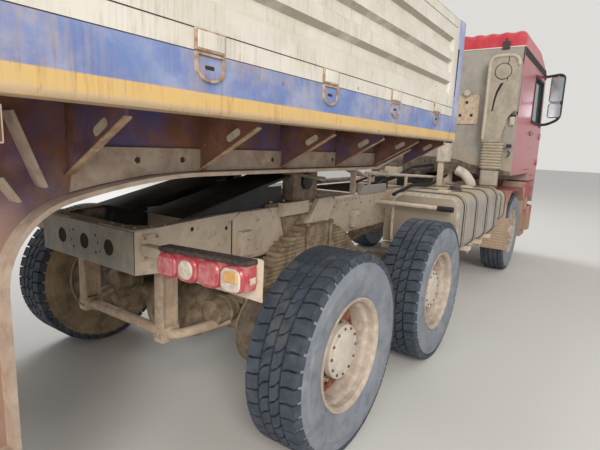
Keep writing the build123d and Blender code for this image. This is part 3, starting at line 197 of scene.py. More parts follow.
# Each finish has its base colour and the shader's values on its first line, and then its coats, from the
# bottom up: kind, colour, size in millimetres, share and strength, as finish takes them
RECIPES = {
    # Cream enamel on rolled steel, chalky, with faint rust tears, and painted shade on the faces of its folds that
    # look down
    "cream_profile_paint": """#e0dcd1 roughness=0.62 grain=0.1
        patches #cfc8b9 240 0.5 0.55; runs #a8957b 11 0.35 0.35; runs #9a7350 7 0.2 0.35
        under #8f8271 200 1 0.75; specks #8f6a4c 10 0.05 0.8""",
    # Faded blue enamel over an ochre lower band, with pale scuffs, rust tears, and painted shade on faces that look
    # down
    "blue_rail_paint": """#7086b9 roughness=0.6 grain=0.1
        patches #a0a8c6 210 0.5 0.7; patches #6079b4 90 0.4 0.5; band #dcb874 1731 1 1.0
        band #cfb591 1692 1 0.8; patches #d3b58c 170 0.25 0.35; runs #b5a58d 18 0.4 0.45
        runs #94694a 10 0.25 0.5; under #97806a 200 1 0.6; specks #8d6247 10 0.05 0.8""",
    # The same paint on the corner posts, bleached to lilac
    "lilac_post_paint": """#9aa6cc roughness=0.6 grain=0.1
        patches #b9bccb 160 0.5 0.7; patches #7d8cc0 80 0.35 0.6; runs #a58c78 12 0.3 0.4""",
    # Thin blue paint over welded plate, most of it gone to rust, dusted from below, and darker than the webs' paint
    # as painted shade on the outriggers and cross plates
    "rusty_beam_paint_and_shade": """#6e4736 roughness=0.85 grain=0.3
        patches #474b78 340 0.36 0.7; patches #8a6047 160 0.4 0.6; patches #4f3026 90 0.3 0.6
        splash #a58a76 1350 0.6 0.7; specks #a88362 8 0.1 0.6""",
    # The beams' webs, blue where the road dust stops
    "dusted_web_paint": """#83573f roughness=0.85 grain=0.3
        patches #464b80 300 0.45 0.8; patches #653f2f 120 0.35 0.6; splash #b8946e 1400 0.9 0.6
        specks #b08c6e 8 0.1 0.6""",
    # Flanges and doublers, coated in road grit
    "gritty_flange": """#a59282 roughness=0.9 grain=0.5
        patches #b9a896 90 0.5 0.6; patches #846b5b 70 0.25 0.5; specks #6a5347 8 0.1 0.6""",
    # Chassis enamel under a smooth dry coat of loam, with painted shade on faces that look down
    "muddy_chassis": """#cfbfaa roughness=0.9 grain=0.25
        patches #bfae98 150 0.5 0.6; patches #d0c2ad 60 0.35 0.5; patches #a0785c 40 0.12 0.5
        under #7d6b5a 200 1 0.5; settled #b8a688 80 0.6 0.7; specks #7c614a 9 0.04 0.8""",
    # The rails: loam outside, near black on faces that look inwards or forwards, painted shade on faces that look
    # down
    "chassis_rail_paint": """#d2c2ae roughness=0.88 grain=0.2
        patches #c1af99 150 0.5 0.6; patches #9c7458 45 0.12 0.4; inboard #26272d 300 1 0.97
        under #7d6b5a 200 1 0.5; specks #75604c 10 0.05 0.8""",
    # Grey enamel of the rear member, scuffed to primer
    "scuffed_steel": """#a3a198 roughness=0.6 grain=0.1
        patches #8d8b84 110 0.5 0.6; patches #b9ac97 90 0.4 0.7; runs #81644c 12 0.3 0.5""",
    "oily_black": """#1f2024 roughness=0.5
        patches #35332f 120 0.5 0.6; settled #5d5244 60 0.25 0.4""",
    # Coupling under mud, black where the grease is
    "coupling_grime": """#857261 roughness=0.8 grain=0.3
        patches #65564a 70 0.5 0.6; patches #a18d78 40 0.3 0.6; settled #242122 70 1 0.95""",
    # Greased coupling plate, dark and wet looking
    "greased_steel": """#211f1f roughness=0.38 metallic=0.4
        patches #3d3732 70 0.5 0.7; settled #655746 50 0.3 0.6""",
    # Tyre compound, washed by puddles to charcoal
    "tread_rubber": """#383f49 roughness=0.85 grain=0.25 grain_size=5.0
        patches #47505c 60 0.5 0.7; patches #6e6a64 130 0.2 0.4; specks #8a837a 7 0.06 0.5""",
    # The same compound under mud that has dried pale
    "muddy_rubber": """#958267 roughness=0.95 grain=0.4 grain_size=9.0
        patches #ab9679 110 0.5 0.7; patches #655b4d 160 0.35 0.7""",
    "sidewall_rubber": """#7d838c roughness=0.88 grain=0.15
        patches #8f9195 180 0.5 0.6; patches #666d77 90 0.3 0.6; specks #b0a594 9 0.04 0.6""",
    # Wheel enamel, once cream, under a skin of dust
    "dusty_wheel_paint": """#b5a697 roughness=0.65 grain=0.1
        patches #9f8d7e 100 0.45 0.6; patches #cfc1b1 50 0.35 0.6; runs #957560 14 0.25 0.35""",
    "pale_hub_paint": """#cbc2b6 roughness=0.7 grain=0.1
        patches #bbb0a2 60 0.5 0.6; runs #a58c74 12 0.3 0.4""",
    # Bare disc inside the wheel, gone to red rust
    "rusty_disc": """#8a5440 roughness=0.9 grain=0.3
        patches #6d4031 60 0.5 0.6; patches #a7846a 90 0.3 0.6""",
    # Tube paint, with painted shade on faces that look down
    "guard_tube_paint": """#c0aa93 roughness=0.75 grain=0.2
        patches #a58c75 70 0.45 0.6; patches #d0bfa8 40 0.35 0.6; under #7d6b5a 200 1 0.4""",
    # Spun aluminium tank behind a film of road dust, with pale vertical streaks as a painted sheen
    "dusty_aluminium": """#aaa39a roughness=0.5 metallic=0.25 grain=0.15
        patches #9c8f80 200 0.5 0.7; runs #c9c6c2 24 0.45 0.5; back #ab9d8a 200 1 0.9; settled #b9aa90 70 1 0.9""",
    "dark_strap": """#43393a roughness=0.7
        patches #6b5c50 40 0.4 0.6""",
    # Moulded intake plastic, light where the sun has bleached it
    "bleached_plastic": """#c3b9a6 roughness=0.78 grain=0.15 grain_size=3.0
        patches #b3a893 90 0.5 0.6; settled #c6b498 60 0.8 0.7""",
    "dusty_plastic": """#aaa090 roughness=0.8 grain=0.15 grain_size=3.0
        patches #978c7b 170 0.5 0.6; patches #bbb1a0 70 0.35 0.5; settled #c6b498 60 0.8 0.8""",
    # Sheet steel back wall, primer grey under dust
    "dusty_back_wall": """#a7a197 roughness=0.72 grain=0.1
        patches #979086 300 0.5 0.6; patches #b5ada0 120 0.4 0.5; runs #8f8271 26 0.3 0.4
        splash #ad9c86 1560 0.8 0.7""",
    # Red two-coat enamel, dusty where it looks rearwards and low down, and paler on faces that look up as a painted
    # highlight
    "red_cab_enamel": """#b01c2b roughness=0.3 grain=0.02 Coat_Weight=0.4 Coat_Roughness=0.2
        patches #bf2e3b 330 0.45 0.6; settled #cf6a6a 120 0.5 0.4; back #a7a197 300 1 0.9
        splash #9d6f5f 950 0.6 0.45""",
    # The cab's red made lighter for the roof, paler on faces that look up: painted highlight over slight fading
    "roof_enamel_and_highlight": """#c6333f roughness=0.34 grain=0.02 Coat_Weight=0.4 Coat_Roughness=0.25
        patches #d5525a 200 0.5 0.6; settled #d98280 120 0.5 0.45""",
    # Unpainted moulding, black gone grey
    "grey_moulding": """#38393b roughness=0.7 grain=0.15 grain_size=2.5
        patches #55514c 90 0.4 0.6; settled #8a7c69 60 0.5 0.7""",
    "black_rubber": """#1d1e20 roughness=0.7 grain=0.1
        patches #37342f 60 0.35 0.5""",
    "red_moulding": """#b03c44 roughness=0.6
        patches #9e5a55 120 0.45 0.5; back #b9a892 200 1 0.92; inboard #2a2522 200 1 0.85
        splash #a98b72 700 0.8 0.75; settled #ab967b 60 0.6 0.7""",
    # Lamp lenses: coloured acrylic with a dry film on it, and painted shade on faces that look down
    "red_lens": """#b23f48 roughness=0.35 grain=0.1 grain_size=3.0 Coat_Weight=0.4
        patches #c47d7b 40 0.45 0.7; under #8a4240 60 1 0.5; specks #c0a591 6 0.06 0.7""",
    "lens_rib": """#c98a88 roughness=0.4
        patches #b35058 40 0.45 0.7""",
    "clear_lens": """#d2c8b8 roughness=0.4 grain=0.15 grain_size=3.0
        patches #b5a691 30 0.4 0.7""",
    "amber_lens": """#d3a160 roughness=0.4 grain=0.15 grain_size=3.0
        patches #cdb491 30 0.4 0.7""",
    "lamp_top": """#3b3230 roughness=0.85 grain=0.6 grain_size=5.0
        patches #5a4d45 20 0.45 0.7""",
    # Tinted safety glass, seen mostly by what it reflects
    "tinted_glass": "#71868a roughness=0.08 grain=0.0 Transmission_Weight=0.6 IOR=1.5",
    # Mirror glass; the reddish coat low on it is a painted reflection of the red cab
    "mirror_glass": """#b4bcc0 roughness=0.12 metallic=1.0 grain=0.0
        splash #9c4048 2000 0.3 0.5""",
    # Hardwood planks, oiled once, grey and splintered now
    "worn_planks": """#867158 roughness=0.85 grain=0.4
        patches #6d5740 60 0.5 0.7; patches #9f8e75 200 0.5 0.7""",
    "seat_fabric": """#4b4d53 roughness=0.95 grain=0.3 grain_size=3.0
        patches #5c5e63 40 0.5 0.7""",
    "cast_iron": """#655b4f roughness=0.85 grain=0.35
        patches #877761 80 0.5 0.7; patches #463f38 60 0.4 0.7""",
    # Mud on the axles, with painted shade on faces that look down
    "muddy_axle": """#96836b roughness=0.92 grain=0.4 grain_size=9.0
        patches #ad997d 110 0.45 0.7; patches #615444 80 0.4 0.7; under #4d4439 100 1 0.6""",
    "polyurethane_hose": """#a79c8d roughness=0.5 grain=0.05
        patches #c7bdae 40 0.5 0.7; patches #6b6259 30 0.35 0.7""",
    "zinc_bolt": """#a39280 roughness=0.65 metallic=0.3
        patches #bcae98 20 0.5 0.7""",
    # Dirt that fills seams and joints, and painted shade in holes, slits and slots
    "seam_dirt_and_shade": "#3a302b roughness=0.95 grain=0.0",
    # Bare rusted edges of hinge loops, caps and brackets
    "rust_edge": """#ac927b roughness=0.9 grain=0.3
        patches #885f45 20 0.4 0.7; patches #c6b5a0 30 0.4 0.7""",
    "outrigger_paint": """#a08468 roughness=0.85 grain=0.3
        patches #77543b 60 0.4 0.6; patches #bca68b 40 0.3 0.6""",
    # Pale paint of small boxes and flap ribs, and painted light seen through the outriggers' oval slots
    "pale_paint_and_slot_light": """#b9ad98 roughness=0.85 grain=0.1
        patches #a2927a 30 0.4 0.6""",
    # Pale primer of small brackets and of the walkway
    "pale_bracket_paint": """#d0c8ba roughness=0.75 grain=0.15
        patches #b3a591 60 0.45 0.7; runs #93775f 12 0.3 0.5""",
    "grey_bracket_paint": """#a5a5a6 roughness=0.6 grain=0.1
        patches #b5a893 70 0.45 0.7""",
    "bracket_primer": """#c9b39a roughness=0.85 grain=0.25
        patches #b18a6b 50 0.35 0.6; patches #d6c7b1 40 0.4 0.7""",
}
FINISH = {}


def mix_finishes():
    """Every finish of the lorry, by the name of the real material."""
    for name, recipe in RECIPES.items():
        (base, *values), *coats = [part.split() for part in recipe.replace(";", "\n").split("\n")]
        pairs = [value.split("=") for value in values]
        shader = {key.replace("_", " ") if key[0].isupper() else key: float(value) for key, value in pairs}
        FINISH[name] = finish(name, base, [(kind, tint, *map(float, sizes)) for kind, tint, *sizes in coats],
            **shader)


def circle(radius, steps, centre=(0, 0)):
    """Points around a circle."""
    turns = [2 * pi * i / steps for i in range(steps)]
    return [(centre[0] + radius * cos(t), centre[1] + radius * sin(t)) for t in turns]


def spread(outline, axis, places):
    """The points of an outline at each place along an axis. Its pairs are the two other coordinates, in order."""
    number = "xyz".index(axis)
    return [(*pair[:number], place, *pair[number:]) for place in places for pair in outline]


def strips(rows, count, closed=False):
    """The faces between rows of points, where each row is a ring of count points."""
    loops = []
    for row in range(rows if closed else rows - 1):
        a, b = row * count, (row + 1) % rows * count
        loops += [(a + i, a + (i + 1) % count, b + (i + 1) % count, b + i) for i in range(count)]
    return loops


def caps(rows, count):
    """The faces that close the first and the last row."""
    return [list(range(count)), [(rows - 1) * count + i for i in range(count)]]


def put(name, data):
    """A new object in the scene."""
    made = bpy.data.objects.new(name, data)
    bpy.context.scene.collection.objects.link(made)
    return made


class Shape:
    """Gathers the faces of one piece, each with the name of its finish."""

    def __init__(self):
        self.mesh = bmesh.new()
        self.finishes = []

    def slot(self, name):
        """The number of a finish in this piece."""
        if name not in self.finishes:
            self.finishes.append(name)
        return self.finishes.index(name)

    def faces(self, points, loops, name, bevel=0.0, segments=2):
        """Adds faces by lists of point numbers, with every edge of the form eased by bevel."""
        made = [self.mesh.verts.new(p) for p in points]
        new = []
        number = self.slot(name)
        for loop in loops:
            face = self.mesh.faces.new([made[i] for i in loop])
            face.material_index = number
            new.append(face)
        if bevel:
            edges = list({edge for face in new for edge in face.edges})
            bmesh.ops.bevel(self.mesh, geom=edges, offset=bevel, segments=segments, profile=0.6, affect="EDGES",
                clamp_overlap=True, material=number)
        return made

    def box(self, low, high, name, bevel=0.003):
        """A box with eased edges."""
        x, y, z = [sorted(pair) for pair in zip(low, high)]
        points = [(a, b, c) for a in x for b in y for c in z]
        loops = [(0, 1, 3, 2), (4, 6, 7, 5), (0, 4, 5, 1), (2, 3, 7, 6), (0, 2, 6, 4), (1, 5, 7, 3)]
        return self.faces(points, loops, name, bevel)

    def prism(self, outline, axis, span, name, bevel=0.002, segments=2):
        """A plate whose outline gives the two other coordinates in order, between two values along axis."""
        count = len(outline)
        points = spread(outline, axis, sorted(span))
        return self.faces(points, caps(2, count) + strips(2, count), name, bevel, segments)

    def loft(self, rings, axis, name):
        """A closed skin over rings, each (its place along axis, its outline), with as many points in each."""
        count = len(rings[0][1])
        points = [point for place, ring in rings for point in spread(ring, axis, [place])]
        return self.faces(points, caps(len(rings), count) + strips(len(rings), count), name)

    def ring(self, outline, hole, axis, span, name):
        """A frame between two outlines with the same number of points, between two values along axis."""
        count = len(outline)
        points = spread([*outline, *hole], axis, sorted(span))
        loops = []
        for i in range(count):
            j = (i + 1) % count
            loops += [(i, j, count + j, count + i), (2 * count + j, 2 * count + i, 3 * count + i, 3 * count + j)]
            loops += [(j, i, 2 * count + i, 2 * count + j), (count + i, count + j, 3 * count + j, 3 * count + i)]
        return self.faces(points, loops, name)

    def holed_plate(self, outline, holes, axis, span, name):
        """A plate with holes through it. A hole is (its two other coordinates, radius, sides)."""
        rings = [list(outline)] + [circle(radius, sides, at) for at, radius, sides in holes]
        triangles = tessellate_polygon([[Vector((*pair, 0)) for pair in ring] for ring in rings])
        flat = [pair for ring in rings for pair in ring]
        loops = [list(t) for t in triangles] + [[len(flat) + i for i in t] for t in triangles]
        start = 0
        for ring in rings:
            for i in range(len(ring)):
                a, b = start + i, start + (i + 1) % len(ring)
                loops.append((a, b, len(flat) + b, len(flat) + a))
            start += len(ring)
        return self.faces(spread(flat, axis, sorted(span)), loops, name)

    def lathe(self, centre, axis, profile, name, steps=48, closed=False):
        """Turns (offset along the axis, radius) points about an axis. A closed profile makes a ring."""
        points = []
        for offset, radius in profile:
            points += [Vector(p) + Vector(centre) for p in spread(circle(radius, steps), axis, [offset])]
        loops = strips(len(profile), steps, closed) + ([] if closed else caps(len(profile), steps))
        return self.faces(points, loops, name)

    def tube(self, path, radius, name, sides=14, corner=0.0):
        """A round bar along points, with its corners swept at the given radius."""
        route = [Vector(p) for p in path]
        if corner:
            swept = [route[0]]
            for before, at, after in zip(route, route[1:], route[2:]):
                into, out = (before - at).normalized(), (after - at).normalized()
                reach = min(corner, 0.45 * (before - at).length, 0.45 * (after - at).length)
                a, b = at + into * reach, at + out * reach
                swept += [a.lerp(at, t).lerp(at.lerp(b, t), t) for t in (0, 0.25, 0.5, 0.75, 1)]
            route = swept + [route[-1]]
        points = []
        across = (route[1] - route[0]).normalized().orthogonal().normalized()
        for index, at in enumerate(route):
            ahead = route[min(index + 1, len(route) - 1)] - route[max(index - 1, 0)]
            ahead.normalize()
            across = (across - across.dot(ahead) * ahead).normalized()
            up = ahead.cross(across)
            for i in range(sides):
                turn = 2 * pi * i / sides
                points.append(at + radius * (cos(turn) * across + sin(turn) * up))
        return self.faces(points, strips(len(route), sides) + caps(len(route), sides), name)

    def bolt(self, at, axis, size, name="zinc_bolt"):
        """A hexagon head on its washer, standing out along the sign and letter of axis, such as -y."""
        way = -1 if axis[0] == "-" else 1
        profile = ((0, 1), (0.2, 1), (0.2, 0.82), (0.8, 0.82), (0.95, 0.6))
        return self.lathe(at, axis[-1], [(way * out * size, size * wide) for out, wide in profile], name, 6)

    def take(self, mesh, finishes):
        """Adds a finished mesh, whose material numbers are those of the given finishes."""
        before = len(self.mesh.faces)
        self.mesh.from_mesh(mesh)
        self.mesh.faces.ensure_lookup_table()
        numbers = [self.slot(name) for name in finishes]
        for face in self.mesh.faces[before:]:
            face.material_index = numbers[min(face.material_index, len(numbers) - 1)]

    def mirror_y(self):
        """Adds this shape's mirror image on the other side of the lorry."""
        copy = self.mesh.copy()
        bmesh.ops.scale(copy, vec=(1, -1, 1), verts=copy.verts)
        mesh = bpy.data.meshes.new("mirrored")
        copy.to_mesh(mesh)
        copy.free()
        self.take(mesh, list(self.finishes))
        bpy.data.meshes.remove(mesh)

    def to_mesh(self, name):
        """The shape as a mesh with outward faces, and flats and rounds told apart by angle."""
        bmesh.ops.recalc_face_normals(self.mesh, faces=self.mesh.faces)
        mesh = bpy.data.meshes.new(name)
        self.mesh.to_mesh(mesh)
        self.mesh.free()
        for finish_name in self.finishes:
            mesh.materials.append(FINISH[finish_name])
        mesh.polygons.foreach_set("use_smooth", [True] * len(mesh.polygons))
        mesh.set_sharp_from_angle(angle=radians(32))
        return mesh

    def make(self, name, body, replaces=()):
        """Puts the finished piece in the scene, riding on a body if one is given."""
        piece = put(name, self.to_mesh(name))
        if body:
            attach(piece, body)
        if replaces:
            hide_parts(*replaces)
        return piece


def repeat_tree():
    """A Geometry Nodes tree that repeats what it is given, with a step and a turn between one and the next."""
    tree = bpy.data.node_groups.new("Repeat along or around", "GeometryNodeTree")
    sockets = (("Geometry", "Geometry"), ("Count", "Int"), ("Step", "Vector"), ("Turn", "Vector"),
        ("Finish", "Material"))
    for label, kind in sockets:
        tree.interface.new_socket(name=label, in_out="INPUT", socket_type="NodeSocket" + kind)
    tree.interface.new_socket(name="Geometry", in_out="OUTPUT", socket_type="NodeSocketGeometry")
    given = node(tree, "NodeGroupInput").outputs
    points = node(tree, "GeometryNodePoints", {"Count": given["Count"]})
    index = node(tree, "GeometryNodeInputIndex").outputs[0]
    offset = node(tree, "ShaderNodeVectorMath", {0: given["Step"], "Scale": index}, operation="SCALE").outputs[0]
    turned = node(tree, "ShaderNodeVectorMath", {0: given["Turn"], "Scale": index}, operation="SCALE").outputs[0]
    placed = node(tree, "GeometryNodeSetPosition", {"Geometry": points.outputs[0], "Offset": offset})
    copies = node(tree, "GeometryNodeInstanceOnPoints",
        {"Points": placed.outputs[0], "Instance": given["Geometry"], "Rotation": turned})
    real = node(tree, "GeometryNodeRealizeInstances", {0: copies.outputs[0]})
    painted = node(tree, "GeometryNodeSetMaterial", {"Geometry": real.outputs[0], "Material": given["Finish"]})
    node(tree, "NodeGroupOutput", {0: painted.outputs[0]})
    return tree


def repeated(shape, count, finish_name, step=(0, 0, 0), turn=(0, 0, 0)):
    """A plain mesh of count copies of a shape, each moved by step and turned about the origin by turn."""
    tree = bpy.data.node_groups.get("Repeat along or around") or repeat_tree()
    seed = put("seed", shape.to_mesh("seed"))
    modifier = seed.modifiers.new("Repeat", "NODES")
    modifier.node_group = tree
    values = {"Count": count, "Step": step, "Turn": turn, "Finish": FINISH[finish_name]}
    for item in tree.interface.items_tree:
        if item.in_out == "INPUT" and item.name in values:
            modifier[item.identifier] = values[item.name]
    result = bpy.data.meshes.new_from_object(seed.evaluated_get(bpy.context.evaluated_depsgraph_get()))
    seed.modifiers.remove(modifier)
    bpy.data.objects.remove(seed)
    return result


def add_repeated(shape, seed, count, finish_name, step=(0, 0, 0), turn=(0, 0, 0), centre=(0, 0, 0)):
    """Adds the copies to a shape, with the point that they turn about put at centre."""
    mesh = repeated(seed, count, finish_name, step, turn)
    mesh.transform(Matrix.Translation(centre))
    shape.take(mesh, [finish_name])
    bpy.data.meshes.remove(mesh)


def rounded(width, height, radius, centre=(0, 0), steps=4):
    """The outline of a rectangle with round corners."""
    points = []
    for index, (a, b) in enumerate(((1, 1), (-1, 1), (-1, -1), (1, -1))):
        for step in range(steps + 1):
            turn = pi / 2 * (index + step / steps)
            points.append((centre[0] + a * (width / 2 - radius) + radius * cos(turn),
                centre[1] + b * (height / 2 - radius) + radius * sin(turn)))
    return points


def dress(names, finish_name):
    """Gives carried-over CAD nodes one finish."""
    for name in names:
        mesh = FRAME["nodes"][name].data
        mesh.materials.clear()
        mesh.materials.append(FINISH[finish_name])


def around(y, along, radius):
    """A point on a wheel's face: across the tread, along it, and out from the axis, all in metres."""
    turn = along / TREAD
    return (radius * sin(turn), y, radius * cos(turn))


def tread_block(shape, outline, foot, crown, name, ease=0.003):
    """A block of tread on (y, along) points, drawn in a little at its crown."""
    middle = Vector((sum(p[0] for p in outline) / len(outline), sum(p[1] for p in outline) / len(outline)))
    points = [around(y, s, foot) for y, s in outline]
    for y, s in outline:
        inward = (middle - Vector((y, s))).normalized() * ease
        points.append(around(y + inward.x, s + inward.y, crown))
    shape.faces(points, caps(2, len(outline))[1:] + strips(2, len(outline)), name)


def half_profile(tread_radius, bulge):
    """The outside of half a tyre, from bead to tread edge, as (offset, radius)."""
    wall = [(0.112, 0.293), (0.126, 0.296), (0.134, 0.318), (0.143, 0.34), (0.15, 0.372), (bulge, 0.412)]
    wall += [(bulge + 0.001, 0.436), (bulge - 0.002, 0.44), (bulge - 0.004, 0.462), (0.147, 0.486)]
    return wall + [(0.139, tread_radius - 0.012), (0.13, tread_radius - 0.002)]


def tyre_shape(kind):
    """One tyre about the origin: a traction tread of blocks, or a ribbed one."""
    shape = Shape()
    half = half_profile(0.516 if kind == "traction" else TREAD, 0.154)
    if kind == "ribbed":
        for groove in (0.085, 0.03):
            half += [(groove + out, radius) for out, radius in ((0.007, 0.534), (0.005, 0.52), (-0.005, 0.52),
                (-0.007, 0.534))]
    shape.lathe((0, 0, 0), "y", [(-y, r) for y, r in half] + half[::-1], "sidewall_rubber", 72, closed=True)
    for face in shape.mesh.faces:
        middle = face.calc_center_median()
        if middle.xz.length > 0.5:
            face.material_index = shape.slot("tread_rubber")
        elif kind == "traction" and middle.y < 0:
            face.material_index = shape.slot("muddy_rubber")
    if kind == "traction":
        pitches = bpy.context.scene.lorry_wheels.tread_pitches
        blocks = Shape()
        # One pitch: on each side a shoulder block, the lug that it sends down the wall, and a slanted inner block
        shoulder = ((0.062, -0.026), (0.1, -0.0365), (0.137, -0.0365), (0.137, 0.032), (0.104, 0.032),
            (0.062, 0.0425))
        centre = ((0.004, -0.022), (0.032, -0.036), (0.055, -0.062), (0.055, 0.006), (0.036, 0.032), (0.004, 0.046))
        lug = ((0.136, -0.035, 0.533), (0.136, 0.03, 0.533), (0.1485, 0.027, 0.492), (0.1485, -0.032, 0.492))
        lug += ((0.128, -0.035, 0.52), (0.128, 0.03, 0.52), (0.14, 0.027, 0.486), (0.14, -0.032, 0.486))
        for way in (-1, 1):
            tread_block(blocks, [(way * y, way * s) for y, s in shoulder], 0.51, 0.535, "tread_rubber")
            loops = [(0, 1, 2, 3), (0, 4, 5, 1), (3, 2, 6, 7), (0, 3, 7, 4), (1, 5, 6, 2)]
            blocks.faces([around(way * y, way * s, r) for y, s, r in lug], loops, "tread_rubber")
            tread_block(blocks, [(way * y, way * s + 0.016) for y, s in centre], 0.51, 0.535, "tread_rubber")
        add_repeated(shape, blocks, pitches, "tread_rubber", turn=(0, 2 * pi / pitches, 0))
    else:
        sipes, count = Shape(), 84
        for y in (-0.1145, 0.1145):
            slit = [(y - 0.0165, -0.0025), (y + 0.0165, -0.0025), (y + 0.0165, 0.0025), (y - 0.0165, 0.0025)]
            tread_block(sipes, slit, 0.5285, 0.5312, "black_rubber", 0.0)
        add_repeated(shape, sipes, count, "black_rubber", turn=(0, 2 * pi / count, 0))
    return shape


def rim_shape(kind):
    """A disc wheel about the origin: steered, a twin pair, or dished, with a drum behind its disc."""
    shape = Shape()
    outer = 0.138
    rim = [(-outer, 0.294), (-outer, 0.302), (-outer + 0.01, 0.303), (-outer + 0.012, 0.2905), (-0.08, 0.28)]
    rim += [(0.06, 0.28), (outer - 0.012, 0.2905), (outer - 0.01, 0.303), (outer, 0.302), (outer, 0.295)]
    rim += [(outer - 0.018, 0.278), (0.085, 0.274), (0.07, 0.262), (0.062, 0.258), (-0.03, 0.252)]
    rim += [(-0.085, 0.258), (-outer + 0.018, 0.278)]
    for centre in {"twin": (-0.175, 0.175), "dished": (0.175,), "steered": (0.0,)}[kind]:
        way = -1 if centre < 0 else 1
        shape.lathe((0, centre, 0), "y", [(way * y, r) for y, r in rim], "dusty_wheel_paint", 72, closed=True)
    holes = []
    for index in range(10):
        turn = 2 * pi * (index + 0.5) / 10
        holes.append(((0.213 * cos(turn), 0.213 * sin(turn)), 0.027, 14))
    plate = {"twin": (-0.011, 0.011), "dished": (0.15, 0.166), "steered": (0.095, 0.111)}[kind]
    disc_paint = "rusty_disc" if kind == "dished" else "dusty_wheel_paint"
    shape.holed_plate(circle(0.264, 72), holes, "y", plate, disc_paint)
    face = plate[1]
    if kind == "steered":
        hub = [(face, 0.112), (face + 0.012, 0.112), (face + 0.016, 0.096), (0.14, 0.088), (0.156, 0.08)]
        hub += [(0.164, 0.06), (0.166, 0.02)]
        back = [(face - 0.01, 0.134), (-0.012, 0.134), (-0.016, 0.05)]
    else:
        # The planetary hub: a wide drum with a bolted, slightly domed cover
        hub = [(0.214, 0.138), (0.218, 0.145), (0.25, 0.145), (0.255, 0.141), (0.256, 0.11), (0.262, 0.105)]
        hub += [(0.267, 0.086), (0.271, 0.05), (0.272, 0.02)]
        neck = [(face, 0.156), (face + 0.01, 0.156), (face + 0.02, 0.14), (0.2145, 0.14), (0.2145, 0.12)]
        shape.lathe((0, 0, 0), "y", neck, "grey_moulding")
        back = [(face - 0.012, 0.134), (-0.17, 0.134), (-0.176, 0.05)]
    shape.lathe((0, 0, 0), "y", hub, "pale_hub_paint" if kind == "dished" else "dusty_wheel_paint")
    shape.lathe((0, 0, 0), "y", back, "cast_iron", 32)
    if kind == "dished":
        drum = [(-0.31, 0.199), (-0.31, 0.221), (-0.298, 0.2235), (-0.284, 0.2235), (-0.28, 0.2185)]
        drum += [(-0.045, 0.2185), (-0.03, 0.21), (0.034, 0.196), (0.034, 0.14), (-0.036, 0.18), (-0.05, 0.199)]
        shield = [(0.048, 0.2), (0.054, 0.2), (0.062, 0.277), (0.054, 0.277)]
        shape.lathe((0, 0, 0), "y", drum, "cast_iron", 56, closed=True)
        shape.lathe((0, 0, 0), "y", shield, "muddy_axle", 56, closed=True)
    nuts = Shape()
    nuts.bolt((0.1675, face, 0), "y", 0.02)
    nuts.lathe((0.1675, face + 0.016, 0), "y", [(0, 0.011), (0.016, 0.011), (0.018, 0.008)], "zinc_bolt", 8)
    add_repeated(shape, nuts, 10, "zinc_bolt", turn=(0, 2 * pi / 10, 0))
    if kind != "steered":
        studs = Shape()
        studs.bolt((0.126, 0.255, 0), "y", 0.009, "cast_iron")
        add_repeated(shape, studs, 12, "cast_iron", turn=(0, 2 * pi / 12, 0))
    return shape


def fit_wheels(shape, axles, part, suffix):
    """Puts a part made about the origin on the wheels of each axle, turned round on the right."""
    names = list(shape.finishes)
    mesh = shape.to_mesh(part)
    for axle in axles:
        for side, way in SIDES:
            body, old = f"{axle}_wheel_{side}", f"{axle}_{side}_{part}"
            copy = mesh.copy()
            if way < 0:
                copy.transform(Matrix.Rotation(pi, 4, "Z"))
            copy.transform(Matrix.Translation(SPINS[body]))
            piece = Shape()
            piece.take(copy, names)
            bpy.data.meshes.remove(copy)
            piece.make(old + suffix, body, (old,))
    bpy.data.meshes.remove(mesh)


class LORRY_OT_tyres(bpy.types.Operator):
    """Moulds the traction tyres of the drive axles and the ribbed ones of the other axles"""

    bl_idname = "lorry.tyres"
    bl_label = "Tyres"

    def execute(self, context):
        for kind, axles, centres in (
            ("traction", ("drive_front", "drive_rear"), (0.175,)),
            ("ribbed", ("trailer_front", "trailer_rear"), (-0.175, 0.175)),
            ("ribbed", ("front",), (0.0,)),
        ):
            one = tyre_shape(kind)
            finishes = list(one.finishes)
            single = one.to_mesh("tyre")
            tyres = Shape()
            for centre in centres:
                moved = single.copy()
                moved.transform(Matrix.Translation((0, centre, 0)))
                muddy = {"sidewall_rubber": "muddy_rubber"} if centre < 0 else {}
                tyres.take(moved, [muddy.get(name, name) for name in finishes])
                bpy.data.meshes.remove(moved)
            bpy.data.meshes.remove(single)
            fit_wheels(tyres, axles, "tyres" if len(centres) == 2 else "tyre", "_moulded")
        return {"FINISHED"}


class LORRY_OT_rims(bpy.types.Operator):
    """Presses the disc wheels, with their hubs, nuts and hand holes"""

    bl_idname = "lorry.rims"
    bl_label = "Disc wheels"

    def execute(self, context):
        fit_wheels(rim_shape("dished"), ("drive_front", "drive_rear"), "rim", "_pressed")
        fit_wheels(rim_shape("twin"), ("trailer_front", "trailer_rear"), "rims", "_pressed")
        fit_wheels(rim_shape("steered"), ("front",), "rim", "_pressed")
        return {"FINISHED"}


def lens(shape, y, z, span, x, radius, name, depth=0.012):
    """A lens with round corners on the face of a lamp, domed a little towards the rear."""
    width, height = abs(y[1] - y[0]), abs(z[1] - z[0])
    middle = ((y[0] + y[1]) / 2, (z[0] + z[1]) / 2)
    outline = rounded(width, height, radius, middle)
    crown = rounded(width - 0.012, height - 0.012, max(radius - 0.006, 0.004), middle)
    shape.loft([(x + span, outline), (x - depth * 0.6, outline), (x - depth, crown)], "x", name)


